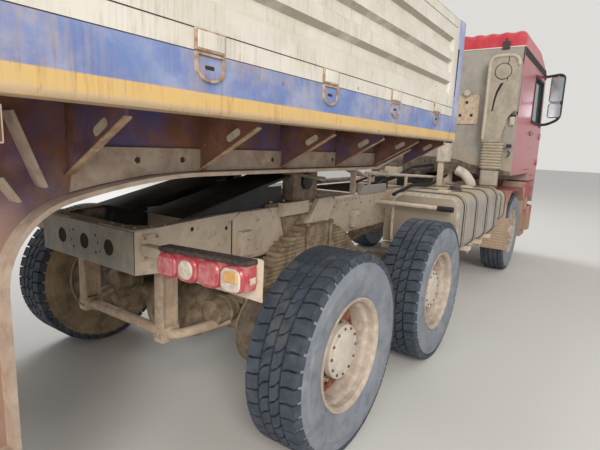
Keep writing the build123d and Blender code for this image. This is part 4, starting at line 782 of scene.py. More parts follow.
def rear_lamps():
    """The lamp clusters on their back plates and stays."""
    lamps = Shape()
    rear = TAIL - 0.05
    low, high, inner, outer = 1.022, 1.14, 0.66, 1.165
    lamps.box((rear + 0.01, inner, low), (TAIL + 0.02, outer, high - 0.01), "red_lens", 0.01)
    lamps.prism([(rear + 0.01, inner - 0.006), (rear + 0.004, inner + 0.02), (rear + 0.004, outer - 0.02),
        (rear + 0.01, outer + 0.004), (TAIL + 0.021, outer + 0.004), (TAIL + 0.021, inner - 0.006)], "z",
        (high - 0.016, high + 0.004), "lamp_top", 0.006)
    for index in range(9):
        x = rear + 0.01 + index * 0.0068
        lamps.box((x, inner, high + 0.002), (x + 0.003, outer, high + 0.0055), "lamp_top", 0.0008)
    width = (outer - inner - 0.02) / 4
    for index in range(4):
        start = inner + 0.004 + index * (width + 0.004)
        end = start + width
        lens(lamps, (start, end), (low - 0.006, high - 0.018), 0.02, rear + 0.008, 0.04, "red_lens", 0.016)
        if index == 1:
            lens(lamps, (start + 0.018, end - 0.018), (low + 0.008, high - 0.03), 0.01, rear - 0.004, 0.038,
                "clear_lens", 0.01)
        elif index == 3:
            lens(lamps, (start + 0.01, end - 0.01), (low, high - 0.026), 0.01, rear - 0.003, 0.03, "clear_lens", 0.01)
            lens(lamps, (start + 0.03, end - 0.022), (low + 0.036, high - 0.036), 0.01, rear - 0.006, 0.012,
                "amber_lens", 0.012)
        else:
            for rib in range(9):
                y = start + 0.022 + rib * (width - 0.044) / 8
                lamps.box((rear - 0.013, y - 0.0026, low + 0.01), (rear + 0.004, y + 0.0026, high - 0.034),
                    "lens_rib", 0.001)
    lamps.box((rear + 0.02, outer - 0.002, low + 0.02), (TAIL + 0.012, outer + 0.005, high - 0.026), "red_lens",
        0.003)
    lamps.box((rear + 0.026, outer + 0.002, low + 0.03), (TAIL + 0.006, outer + 0.007, low + 0.056), "clear_lens",
        0.002)
    back = [(0.655, 1.0), (0.9, 0.99), (1.19, 0.975), (1.192, 1.14), (1.18, 1.146), (0.655, 1.13)]
    lamps.prism(back, "x", (TAIL + 0.021, TAIL + 0.027), "muddy_chassis", 0.001)
    # The whole lamp rises a little outwards
    for vertex in lamps.mesh.verts:
        vertex.co.z += 0.042 * (vertex.co.y - inner)
    lamps.box((TAIL + 0.026, RAIL_Y + 0.006, 1.052), (TAIL + 0.078, 0.7, 1.104), "muddy_chassis", 0.006)
    lamps.prism(rounded(0.094, 0.13, 0.012, (TAIL + 0.083, 1.083)), "y", (RAIL_Y + 0.0003, RAIL_Y + 0.011),
        "muddy_chassis", 0.003)
    for dx in (-0.034, 0.034):
        for dz in (-0.05, 0.05):
            lamps.bolt((TAIL + 0.083 + dx, RAIL_Y + 0.011, 1.083 + dz), "y", 0.01)
    lamps.mirror_y()
    lamps.make("rear_lamps_moulded", "tractor", ("tail_lamps",))


def underrun_guard():
    """The bent tube under the tail, on its hangers."""
    guard = Shape()
    x = TAIL + 0.225
    for near in (-0.05, 0.04):
        # Up to the rail's foot, which tapers towards the tail
        top = FRAME_LOW - 0.065 * (0.225 + near + 0.01) / 0.56
        guard.box((x + near, 0.336, 0.556), (x + near + 0.018, 0.396, top - 0.0005), "guard_tube_paint", 0.003)
    guard.box((x - 0.048, 0.362, 0.56), (x + 0.056, 0.37, 0.92), "guard_tube_paint", 0)
    guard.box((x - 0.054, 0.33, 0.536), (x + 0.064, 0.402, 0.616), "guard_tube_paint", 0.008)
    guard.tube([(x, 0.39, 0.575), (x + 0.04, 0.44, 0.575), (x + 0.16, 0.472, 0.58), (x + 0.32, 0.52, 0.59)], 0.029,
        "guard_tube_paint", 18, 0.07)
    for y in (0.35, 0.384):
        guard.bolt((x - 0.054, y, 0.575), "-x", 0.011)
    guard.mirror_y()
    guard.tube([(x, -0.4, 0.575), (x, 0.4, 0.575)], 0.03, "guard_tube_paint", 20)
    guard.make("underrun_guard_bent", "tractor", ("underrun_guard",))


class LORRY_OT_tail(bpy.types.Operator):
    """Makes the rear lamps, their brackets and the underrun guard"""

    bl_idname = "lorry.tail"
    bl_label = "Rear lamps and guard"

    def execute(self, context):
        rear_lamps()
        underrun_guard()
        return {"FINISHED"}


def frame_parts():
    """What is bolted to the rails, from the rear member to the cab."""
    parts = Shape()
    low, high, paint = FRAME_LOW, FRAME_TOP, "muddy_chassis"
    # Gusset over the corner of the rear member, with its bolts
    gusset = [(TAIL + 0.002, 0.13), (TAIL + 0.002, 0.424), (TAIL + 0.33, 0.424), (TAIL + 0.325, 0.404),
        (TAIL + 0.3, 0.372), (TAIL + 0.115, 0.345)]
    parts.prism(gusset, "z", (high + 0.001, high + 0.007), paint, 0.001)
    for dx, dy in ((0.035, 0.2), (0.035, 0.29), (0.035, 0.38), (0.12, 0.395), (0.2, 0.4), (0.28, 0.402)):
        parts.bolt((TAIL + dx, dy, high + 0.007), "z", 0.008, paint)
    parts.box((TAIL - 0.0012, 0.4235, low + 0.004), (TAIL + 0.004, 0.4275, high - 0.002), "seam_dirt_and_shade", 0)
    face = RAIL_Y + 0.0005
    out = RAIL_Y + 0.008
    # Flitch plate, brackets and rows of bolts along the rail
    flitch = [(2.121, 0.905), (2.121, 1.15), (2.19, 1.189), (DRIVE_AXLE + 0.65, 1.189), (DRIVE_AXLE + 0.76, 1.1),
        (DRIVE_AXLE + 0.76, 0.905)]
    parts.prism(flitch, "y", (face, out), paint, 0.002)
    parts.box((2.1185, face, 0.905), (2.1205, out, 1.148), "seam_dirt_and_shade", 0)
    for x in (REAR_AXLE + 0.16, REAR_AXLE + 0.32, DRIVE_AXLE - 0.3, DRIVE_AXLE - 0.1, DRIVE_AXLE + 0.16,
            DRIVE_AXLE + 0.34, DRIVE_AXLE + 0.6):
        for z in (0.95, 1.13):
            parts.bolt((x, out, z), "y", 0.012, paint)
    for x, z in ((1.515, 1.137), (1.56, 0.985), (1.86, 1.13), (1.94, 1.07), (2.02, 1.02), (2.19, 1.06),
            (2.23, 0.985)):
        parts.bolt((x, face if x < 2.12 else out, z), "y", 0.01, paint)
    # Two open holes in the rail: a rim, and a dark disc of painted shade in each
    for x, z in ((1.818, 1.136), (2.075, 1.109)):
        parts.lathe((x, RAIL_Y, z), "y", [(0, 0.017), (0.0015, 0.016), (0.002, 0.012)], paint, 16)
        parts.lathe((x, RAIL_Y, z), "y", [(0, 0.012), (0.0024, 0.012)], "seam_dirt_and_shade", 14)
    # Folded bracket on the rail's shoulder, riveted along the top, and the curved one ahead of it
    parts.box((2.557, RAIL_Y + 0.001, 1.127), (2.859, RAIL_Y + 0.052, 1.134), paint, 0.002)
    parts.box((2.557, RAIL_Y + 0.046, 1.127), (2.859, RAIL_Y + 0.052, 1.218), paint, 0.002)
    parts.box((2.555, RAIL_Y + 0.01, 1.132), (2.56, RAIL_Y + 0.052, 1.218), paint, 0.001)
    for index in range(20):
        parts.bolt((2.48 + 0.065 * index, out, 1.168), "y", 0.007, "scuffed_steel")
    boot = [(2.8, 0.96), (2.86, 1.075), (2.95, 1.15), (2.99, 1.218), (3.2, 1.218), (3.22, 1.15), (3.13, 1.06),
        (3.1, 0.96)]
    parts.prism(boot, "y", (RAIL_Y + 0.009, RAIL_Y + 0.048), paint, 0.008)
    for x in (REAR_AXLE + 0.02, DRIVE_AXLE + 0.02):
        parts.box((x - 0.055, RAIL_Y + 0.008, 0.93), (x + 0.055, RAIL_Y + 0.06, 1.08), paint, 0.01)
        parts.bolt((x, RAIL_Y + 0.06, 1.04), "y", 0.016, paint)
    # Flange and rubber end of the bar that carries the mudflap ahead of the drive wheels
    parts.tube([(4.068, 1.02, 1.11), (4.068, 1.156, 1.11)], 0.0235, "black_rubber", 16)
    parts.lathe((4.068, RAIL_Y, 1.11), "y", [(0, 0.045), (0.014, 0.045), (0.018, 0.024)], paint, 20)
    # Ramps that lead the trailer's coupling plate up to the fifth wheel
    ramp = [(1.78, 1.191), (2.45, 1.338), (2.9, 1.425), (2.9, 1.411), (2.455, 1.322), (1.85, 1.191)]
    parts.prism(ramp, "y", (0.07, 0.4), "oily_black", 0.002)
    web = [(1.85, 1.19), (2.455, 1.323), (2.64, 1.323), (2.64, 1.19)]
    for y in (0.074, 0.23, 0.39):
        parts.prism(web, "y", (y, y + 0.006), "oily_black", 0)
    parts.mirror_y()
    # Scuffed face of the rear member, with its three large holes and the bolt holes
    skin = [(-0.422, low + 0.003), (0.422, low + 0.003), (0.422, high - 0.002), (-0.422, high - 0.002)]
    middle = (low + high) / 2
    holes = [((y, middle), 0.0415, 28) for y in (-0.22, 0.0, 0.22)]
    holes += [((y, z), 0.0085, 10) for y in (-0.105, 0.105) for z in (middle - 0.045, middle + 0.045)]
    holes += [((y, z), 0.006, 8) for y, z in ((-0.125, middle + 0.01), (0.125, middle - 0.012),
        (-0.14, middle - 0.035), (0.14, middle + 0.035))]
    parts.holed_plate(skin, holes, "x", (TAIL - 0.003, TAIL + 0.0002), "scuffed_steel")
    # A dark disc in each hole of the rear member: painted shade
    for (y, z), radius, sides in holes:
        parts.lathe((TAIL + 0.0001, y, z), "x", [(0, radius), (-0.0012, radius)], "seam_dirt_and_shade", sides)
    # Air reservoirs across the frame ahead of the drive axle
    for x in (DRIVE_AXLE + 0.56, DRIVE_AXLE + 0.86):
        end = [(0.27, 0.104), (0.3, 0.098), (0.325, 0.07), (0.33, 0.02)]
        parts.lathe((x, 0, 1.015), "y", [(-y, r) for y, r in end[::-1]] + end, paint, 28)
    # Between the coupling and the cab: walkway plate, tilted guard plate, long bar on its feet, boxes, pipe and hoses
    parts.prism([(3.75, 1.192), (4.3, 1.192), (4.3, 1.268), (3.79, 1.268)], "y", (-0.395, -0.425),
        "grey_bracket_paint", 0.003)
    parts.prism([(3.494, 1.446), (3.5, 1.458), (3.893, 1.357), (3.893, 1.343)], "y", (-0.3, -0.425),
        "pale_bracket_paint", 0.002)
    parts.box((3.7, -0.395, 1.19), (3.716, -0.345, 1.395), paint, 0.002)
    parts.tube([(3.889, -0.4, 1.378), (5.901, -0.4, 1.277)], 0.016, "pale_bracket_paint", 14)
    for x, top in ((3.95, 1.372), (4.85, 1.326), (5.8, 1.28)):
        parts.box((x, -0.412, 1.189), (x + 0.025, -0.388, top), paint, 0.002)
    parts.box((5.6, -0.6, 1.48), (5.75, -0.47, 1.7), "pale_bracket_paint", 0.012)
    parts.box((5.64, -0.54, 1.189), (5.7, -0.48, 1.482), paint, 0.004)
    pipe = [(5.9, -0.64, 1.38), (5.9, -0.74, 1.34), (5.9, -0.82, 1.235), (5.9, -0.825, 1.15)]
    parts.tube(pipe, 0.06, "pale_bracket_paint", 14, 0.12)
    for radius, *hose in (
        (0.02, (4.35, -0.3, 1.24), (4.7, -0.33, 1.33), (5.2, -0.3, 1.26), (5.9, -0.34, 1.38)),
        (0.016, (4.3, -0.2, 1.23), (4.8, -0.28, 1.29), (5.4, -0.24, 1.4), (6.12, -0.26, 1.42)),
        (0.012, (3.8, -0.36, 1.3), (4.3, -0.37, 1.38), (4.9, -0.35, 1.29), (5.5, -0.36, 1.22)),
        (0.018, (4.45, -0.44, 1.15), (4.9, -0.46, 1.23), (5.5, -0.45, 1.2), (6.05, -0.47, 1.3)),
    ):
        parts.tube(hose, radius, "black_rubber", 14, 0.12)
    # Valves that stand on the frame
    z = 1.19
    for x, y, size in ((4.5, -0.3, 0.13), (4.78, -0.1, 0.16), (5.1, -0.28, 0.11), (5.42, -0.05, 0.2),
            (5.55, -0.3, 0.12)):
        parts.box((x, y, z), (x + size, y + size * 0.8, z + size), "oily_black" if size < 0.15 else paint, 0.014)
        cover = [(0, size * 0.3), (0.03, size * 0.3), (0.04, size * 0.2)]
        parts.lathe((x + size / 2, y + size * 0.4, z + size), "z", cover, "cast_iron", 16)
    parts.make("frame_fittings", "tractor")


def coupling_parts():
    """Pins, bolts and release handle of the fifth wheel."""
    plate = Shape()
    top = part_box("fifth_wheel")[1].z
    for side in (-1, 1):
        plate.lathe((KINGPIN, side * 0.33, top - 0.115), "y",
            [(0, 0.06), (side * 0.115, 0.06), (side * 0.118, 0.045)], "greased_steel", 24)
        for dx in (-0.36, -0.22, 0.22, 0.36):
            plate.bolt((KINGPIN + dx, side * 0.395, 1.216), "z", 0.014)
    plate.tube([(KINGPIN - 0.1, -0.3, top - 0.06), (KINGPIN - 0.12, -0.6, top - 0.075),
        (KINGPIN - 0.12, -0.66, top - 0.075)], 0.01, "zinc_bolt", 10, 0.05)
    plate.make("coupling_fittings", "tractor")


class LORRY_OT_frame_fittings(bpy.types.Operator):
    """Bolts plates, brackets, pipes and reservoirs to the tractor's frame"""

    bl_idname = "lorry.frame_fittings"
    bl_label = "Frame fittings"

    def execute(self, context):
        frame_parts()
        coupling_parts()
        return {"FINISHED"}


def axle_gear():
    """Axle cases, brake chambers, springs and rods of the drive axles, and the chain."""
    gear = Shape()
    for x in (REAR_AXLE, DRIVE_AXLE):
        gear.lathe((x, 0.6, AXLE_HEIGHT), "y", [(0, 0.185), (0.003, 0.214), (0.014, 0.214), (0.016, 0.2)],
            "muddy_axle", 48)
        # Brake chamber and its rod, torque rod, clamp bolts of the spring's end, and upper rod
        chamber = [(0.06, 0.03), (0.055, 0.075), (0.0, 0.082), (-0.005, 0.09), (-0.02, 0.09), (-0.025, 0.082)]
        chamber += [(-0.1, 0.076), (-0.112, 0.05)]
        gear.lathe((x - 0.165, 0.47, AXLE_HEIGHT + 0.105), "x", chamber, "muddy_axle", 24)
        gear.tube([(x - 0.1, 0.47, AXLE_HEIGHT + 0.105), (x - 0.02, 0.52, AXLE_HEIGHT + 0.085)], 0.014, "cast_iron",
            10)
        gear.tube([(x + 0.05, 0.515, AXLE_HEIGHT - 0.1), (KINGPIN, 0.49, AXLE_HEIGHT - 0.005)], 0.027, "muddy_axle",
            14)
        for end in (0.06, -0.06):
            for dy in (0.445, 0.555):
                gear.tube([(x + end, dy, 0.58), (x + end, dy, 0.72)], 0.011, "zinc_bolt", 8)
        gear.tube([(x, 0.3, AXLE_HEIGHT + 0.19), (x + (0.55 if x > KINGPIN else -0.42), 0.1, AXLE_HEIGHT + 0.42)],
            0.03, "muddy_axle", 14)
    # Leaf pack of the rocking springs, leaf by leaf
    steps = ((0.668, 0.79), (0.7, 0.79), (0.77, 0.6), (0.94, 0.39), (1.025, 0.18))
    for leaf in range(13):
        z = 0.6685 + leaf * 0.0274
        for (z0, a), (z1, b) in zip(steps, steps[1:]):
            if z0 <= z <= z1:
                half = a + (b - a) * (z - z0) / (z1 - z0)
        gear.box((KINGPIN - half - 0.006, 0.447, z), (KINGPIN + half + 0.006, 0.553, z + 0.0235), "muddy_axle", 0.005)
    for dx in (-0.15, 0.15):
        for dy in (0.436, 0.564):
            gear.tube([(KINGPIN + dx, dy, 0.625), (KINGPIN + dx, dy, 1.07)], 0.013, "muddy_axle", 10)
            gear.bolt((KINGPIN + dx, dy, 1.05), "z", 0.024, "muddy_axle")
    gear.mirror_y()
    for x in (REAR_AXLE, DRIVE_AXLE):
        # Axle case with its banjo, the cover behind it and the pinion's housing ahead
        case = [(0.06, 0.218), (0.13, 0.19), (0.19, 0.12), (0.3, 0.082), (0.5, 0.07), (0.74, 0.062)]
        case = [(-y, r) for y, r in case[::-1]] + case
        gear.lathe((x, 0, AXLE_HEIGHT), "y", case, "muddy_axle", 32)
        gear.lathe((x - 0.19, 0, AXLE_HEIGHT), "x", [(0, 0.165), (-0.045, 0.16), (-0.075, 0.11), (-0.085, 0.03)],
            "muddy_axle", 28)
        gear.lathe((x + 0.2, 0, AXLE_HEIGHT + 0.02), "x",
            [(0, 0.13), (0.05, 0.1), (0.16, 0.07), (0.19, 0.07), (0.2, 0.05)], "cast_iron", 24)
        ring = Shape()
        ring.bolt((0, 0.145, 0), "-x", 0.01, "zinc_bolt")
        add_repeated(gear, ring, 12, "zinc_bolt", turn=(pi / 6, 0, 0), centre=(x - 0.232, 0, AXLE_HEIGHT))
    # Short chain that hangs from the right spring bracket
    link = Shape()
    link.tube([(0, 0.008, -0.014), (0, 0.008, 0.014), (0, -0.008, 0.014), (0, -0.008, -0.014), (0, 0.008, -0.014)],
        0.003, "zinc_bolt", 6, 0.01)
    add_repeated(gear, link, 8, "zinc_bolt", step=(0.0, -0.004, -0.026), turn=(0, 0, pi / 2),
        centre=(TAIL + 0.34, -0.15, 0.93))
    gear.make("drive_gear", "tractor")


class LORRY_OT_drive_gear(bpy.types.Operator):
    """Dresses the drive bogie with axle cases, brake chambers, rods and a chain"""

    bl_idname = "lorry.drive_gear"
    bl_label = "Drive axles"

    def execute(self, context):
        axle_gear()
        return {"FINISHED"}


def fuel_tank():
    """The large tank with its straps, filler and cradles."""
    x0, x1 = (corner.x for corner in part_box("fuel_tank"))
    y0, y1, z0, z1 = -1.19, -0.57, 0.7, 1.215
    tank = Shape()


    def around_tank(more, radius):
        """The tank's outline, larger by more in all."""
        return rounded(y1 - y0 + more, z1 - z0 + more, radius, ((y0 + y1) / 2, (z0 + z1) / 2), 8)

    outline, inset = around_tank(0.0, 0.105), around_tank(-0.05, 0.085)
    body = [(x, outline) for x in (x0 + 0.01, x0 + 0.024, x1 - 0.024, x1 - 0.01)]
    tank.loft([(x0, inset), *body, (x1, inset)], "x", "dusty_aluminium")
    tank.ring(outline, inset, "x", (x0 - 0.0005, x0 + 0.012), "pale_bracket_paint")
    band, edge = around_tank(0.012, 0.11), around_tank(0.016, 0.112)
    for x in (x0 + 0.16, x0 + 0.59, x0 + 1.04, x1 - 0.17):
        tank.prism(band, "x", (x - 0.024, x + 0.024), "dusty_aluminium", 0)
        for way in (-1, 1):
            tank.prism(edge, "x", (x + way * 0.026 - 0.004, x + way * 0.026 + 0.004), "dark_strap", 0)
        tank.box((x - 0.045, y0 + 0.02, z0 - 0.058), (x + 0.045, y1 + 0.135, z0 - 0.006), "muddy_chassis", 0.008)
        tank.tube([(x, y0 + 0.045, z0 - 0.085), (x, y0 + 0.045, z0 - 0.004)], 0.012, "zinc_bolt", 10)
        tank.bolt((x, y0 + 0.045, z0 - 0.06), "-z", 0.018)
    tank.lathe((x0 + 0.72, -0.93, z1), "z", [(0, 0.07), (0.012, 0.07), (0.014, 0.052), (0.04, 0.052), (0.046, 0.044),
        (0.048, 0.01)], "dark_strap", 24)
    for px in (x0 + 0.35, x1 - 0.45):
        tank.box((px, -0.97, z1 - 0.002), (px + 0.12, -0.86, z1 + 0.018), "muddy_chassis", 0.006)
    for x in (x0 + 0.17, x1 - 0.16):
        tank.box((x - 0.02, y1 - 0.01, z0 + 0.01), (x + 0.02, -RAIL_Y - 0.0005, 1.15), "muddy_chassis", 0.003)
    tank.make("fuel_tank_spun", "tractor", ("fuel_tank",))


def small_tank():
    """The moulded tank ahead of the large one."""
    small = Shape()
    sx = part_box("urea_tank")[0].x + 0.01
    outline = rounded(0.41, 0.365, 0.09, (-0.985, 0.9825), 6)
    small.prism(outline, "x", (sx, sx + 0.315), "dusty_plastic", 0.008)
    small.lathe((sx - 0.002, -0.985, 0.985), "x", [(0.004, 0.112), (-0.006, 0.11), (-0.009, 0.092), (-0.009, 0.03)],
        "dusty_aluminium", 32)
    small.lathe((sx + 0.09, -0.9, 1.165), "z", [(0, 0.04), (0.03, 0.04), (0.034, 0.03)], "grey_moulding", 20)
    small.box((sx + 0.12, -0.79, 0.93), (sx + 0.18, -RAIL_Y - 0.0005, 1.03), "muddy_chassis", 0.004)
    for z in (0.86, 1.1):
        small.prism(rounded(0.42, 0.375, 0.094, (-0.985, 0.9825), 6), "x", (sx + z - 0.8, sx + z - 0.775),
            "dark_strap", 0)
    small.make("urea_tank_moulded", "tractor", ("urea_tank",))


class LORRY_OT_tanks(bpy.types.Operator):
    """Shapes the fuel tank with its straps, the small tank ahead of it, and the battery side"""

    bl_idname = "lorry.tanks"
    bl_label = "Tanks"

    def execute(self, context):
        fuel_tank()
        small_tank()
        dress(["battery_box"], "grey_moulding")
        return {"FINISHED"}


def board_trim(name, body, axis, face, along, way, board_low):
    """Closes the groove ends of one board, and lays its joint lines on its outer face. Axis is the letter that
    the board runs along, face the outer face's place, and way its outward sign."""
    shape = Shape()
    low, high = along

    def plate(a, b, z0, z1, inner, outer, finish_name, bevel=0.002):
        near, far = face - way * inner, face + way * outer
        if axis == "x":
            shape.box((a, near, z0), (b, far, z1), finish_name, bevel)
        else:
            shape.box((near, a, z0), (far, b, z1), finish_name, bevel)

    paint = "cream_profile_paint"
    for start, end in ((low, low + 0.04), (high - 0.1, high)):
        plate(start + 0.0005, end - 0.0005, board_low + 0.07, BOARD_TOP - 0.062, 0.0255, 0.001, paint)
    plate(low + 0.04, high - 0.04, BOARD_TOP - 0.0585, BOARD_TOP - 0.0555, 0.002, 0.0008, "seam_dirt_and_shade", 0)
    plate(low + 0.004, high - 0.004, board_low + 0.056, board_low + 0.059, 0.002, 0.0009, "seam_dirt_and_shade", 0)
    plate(low + 0.0005, high - 0.0005, BOARD_TOP - 0.004, BOARD_TOP + 0.002, 0.054, 0.0015, paint, 0.0015)
    shape.make(name, body)


def board_details():
    """Trims of every board, and a cap over each hinge."""
    for side, way in SIDES:
        for index, part in enumerate(("front", "middle", "rear")):
            start, end = TRAILER_FRONT - SECTIONS[index + 1] + 0.046, TRAILER_FRONT - SECTIONS[index] - 0.046
            if index == 0:
                end = TRAILER_FRONT - 0.14
            if index == 2:
                start = TRAILER_REAR + 0.14
            body = "trailer" if index == 0 else f"{part}_board_{side}"
            low = DECK + (0.0005 if index == 0 else 0.006)
            board_trim(f"{part}_{side}_board_trim", body, "x", way * HALF_WIDTH, (start, end), way, low)
            covers = Shape()
            y = way * HALF_WIDTH
            for x in [place for number, place in HINGES if number == index]:
                # A pressed cap with its rusted rim, over the hinge
                rim = [(x - 0.058, low + 0.001), (x + 0.058, low + 0.001), (x + 0.058, low + 0.058),
                    (x - 0.058, low + 0.058)]
                covers.prism(rim, "y", (y + way * 0.0002, y + way * 0.0085), "rust_edge", 0.003)
                face = [(x - 0.051, low + 0.006), (x + 0.051, low + 0.006), (x + 0.05, low + 0.053),
                    (x - 0.05, low + 0.053)]
                covers.prism(face, "y", (y + way * 0.0002, y + way * 0.0115), "cream_profile_paint", 0.004)
            covers.make(f"{part}_{side}_board_hinge_caps", body)
    board_trim("headboard_trim", "trailer", "y", TRAILER_FRONT, (-1.174, 1.174), 1, DECK + 0.0005)
    board_trim("tailgate_trim", "tailgate", "y", TRAILER_REAR, (-1.17, 1.17), -1, DECK + 0.006)


class LORRY_OT_boards(bpy.types.Operator):
    """Finishes the cream drop boards: groove ends, joint lines and hinge caps"""

    bl_idname = "lorry.boards"
    bl_label = "Drop boards"

    def execute(self, context):
        names = ["front_side_boards", "headboard", "tailgate"]
        names += [f"{part}_board_{side}" for part in ("middle", "rear") for side, _ in SIDES]
        dress(names, "cream_profile_paint")
        board_details()
        return {"FINISHED"}


def side_rails():
    """The blue rails with their posts, hinge loops, slits and seams."""
    rail = Shape()
    y, foot = -HALF_WIDTH, DECK - 0.17
    flange = y + 0.06
    section = [(flange, DECK), (y + 0.007, DECK), (y + 0.002, DECK - 0.002), (y, DECK - 0.007)]
    section += [(y, foot + 0.022), (y + 0.002, foot + 0.011), (y + 0.007, foot + 0.003), (y + 0.016, foot),
        (flange, foot)]
    section += [(flange, foot + 0.008), (y + 0.015, foot + 0.008), (y + 0.008, foot + 0.015),
        (y + 0.008, DECK - 0.008), (flange, DECK - 0.008)]
    rail.prism(section, "x", (TRAILER_REAR + 0.01, TRAILER_FRONT - 0.01), "blue_rail_paint", 0)
    for end in (TRAILER_FRONT - 0.13, TRAILER_REAR):
        rail.box((end, y, DECK - 0.008), (end + 0.13, flange, BOARD_TOP + 0.01), "lilac_post_paint", 0.005)
    for along in SECTIONS[1:-1]:
        x = TRAILER_FRONT - along
        rail.box((x - 0.035, y, DECK - 0.02), (x + 0.035, y + 0.05, BOARD_TOP), "cream_profile_paint", 0.004)
    for number, x in HINGES:
        # A bent loop with the pin's slot inside it
        bow = [(x + 0.056 * cos(t), 1.8 + 0.04 * sin(t)) for t in [pi * (1 + i / 10) for i in range(11)]]
        inside = [(x + (a - x) * 0.86, 1.8 + (b - 1.8) * 0.82) for a, b in bow]
        rail.ring([(x + 0.056, 1.837), (x - 0.056, 1.837), *bow], [(x + 0.048, 1.831), (x - 0.048, 1.831), *inside],
            "y", (y + 0.0004, y - 0.0085), "rust_edge")
        rail.prism([(x + 0.046, 1.829), (x - 0.046, 1.829), *inside], "y", (y + 0.0004, y - 0.002), "blue_rail_paint",
            0)
        # The pin's slot: a dark plate of painted shade
        rail.prism(rounded(0.036, 0.011, 0.005, (x, 1.8)), "y", (y + 0.0004, y - 0.0026), "seam_dirt_and_shade", 0)
        if number:
            rail.lathe((x, -HINGE_Y, HINGE_Z), "x", [(-0.03, 0.0088), (0.03, 0.0088)], "rust_edge", 12)
            rail.box((x - 0.03, y + 0.001, HINGE_Z - 0.06), (x + 0.03, -HINGE_Y - 0.001, HINGE_Z - 0.003),
                "rust_edge", 0.003)
    for end, way in ((TRAILER_FRONT, -1), (TRAILER_REAR, 1)):
        # The slit in each corner post: a dark plate of painted shade
        slit = [(end + way * a, z) for a, z in ((0.128, 2.289), (0.126, 1.971), (0.116, 1.971), (0.1, 2.289))]
        rail.prism(slit, "y", (y + 0.0002, y - 0.0012), "seam_dirt_and_shade", 0)
        rail.box((end - 0.0005 * way, y - 0.0008, BOARD_TOP + 0.006),
            (end + way * 0.1305, y + 0.056, BOARD_TOP + 0.012), "cream_profile_paint", 0.001)
        rail.box((end + way * 0.0005, y - 0.001, DECK - 0.0005), (end + way * 0.13, y + 0.03, DECK + 0.003),
            "rust_edge", 0)
    rail.mirror_y()
    for x in (TRAILER_FRONT - 0.018, TRAILER_REAR):
        rail.box((x, -HALF_WIDTH, foot), (x + 0.018, HALF_WIDTH, DECK), "blue_rail_paint", 0.005)
    for share in (0.15, 0.5, 0.85):
        middle, axis_x = (2 * share - 1) * HALF_WIDTH, TRAILER_REAR - 0.012
        rail.lathe((axis_x, middle, HINGE_Z), "y", [(-0.03, 0.0088), (0.03, 0.0088)], "rust_edge", 12)
        rail.box((TRAILER_REAR - 0.013, middle - 0.03, HINGE_Z - 0.06),
            (TRAILER_REAR + 0.001, middle + 0.03, HINGE_Z - 0.003), "rust_edge", 0.003)
    rail.make("trailer_rails_pressed", "trailer", ("trailer_rails",))


class LORRY_OT_rails(bpy.types.Operator):
    """Presses the blue side rails and posts, with their hinge loops, slits and seams"""

    bl_idname = "lorry.rails"
    bl_label = "Side rails"

    def execute(self, context):
        dress(["trailer_deck"], "worn_planks")
        side_rails()
        return {"FINISHED"}


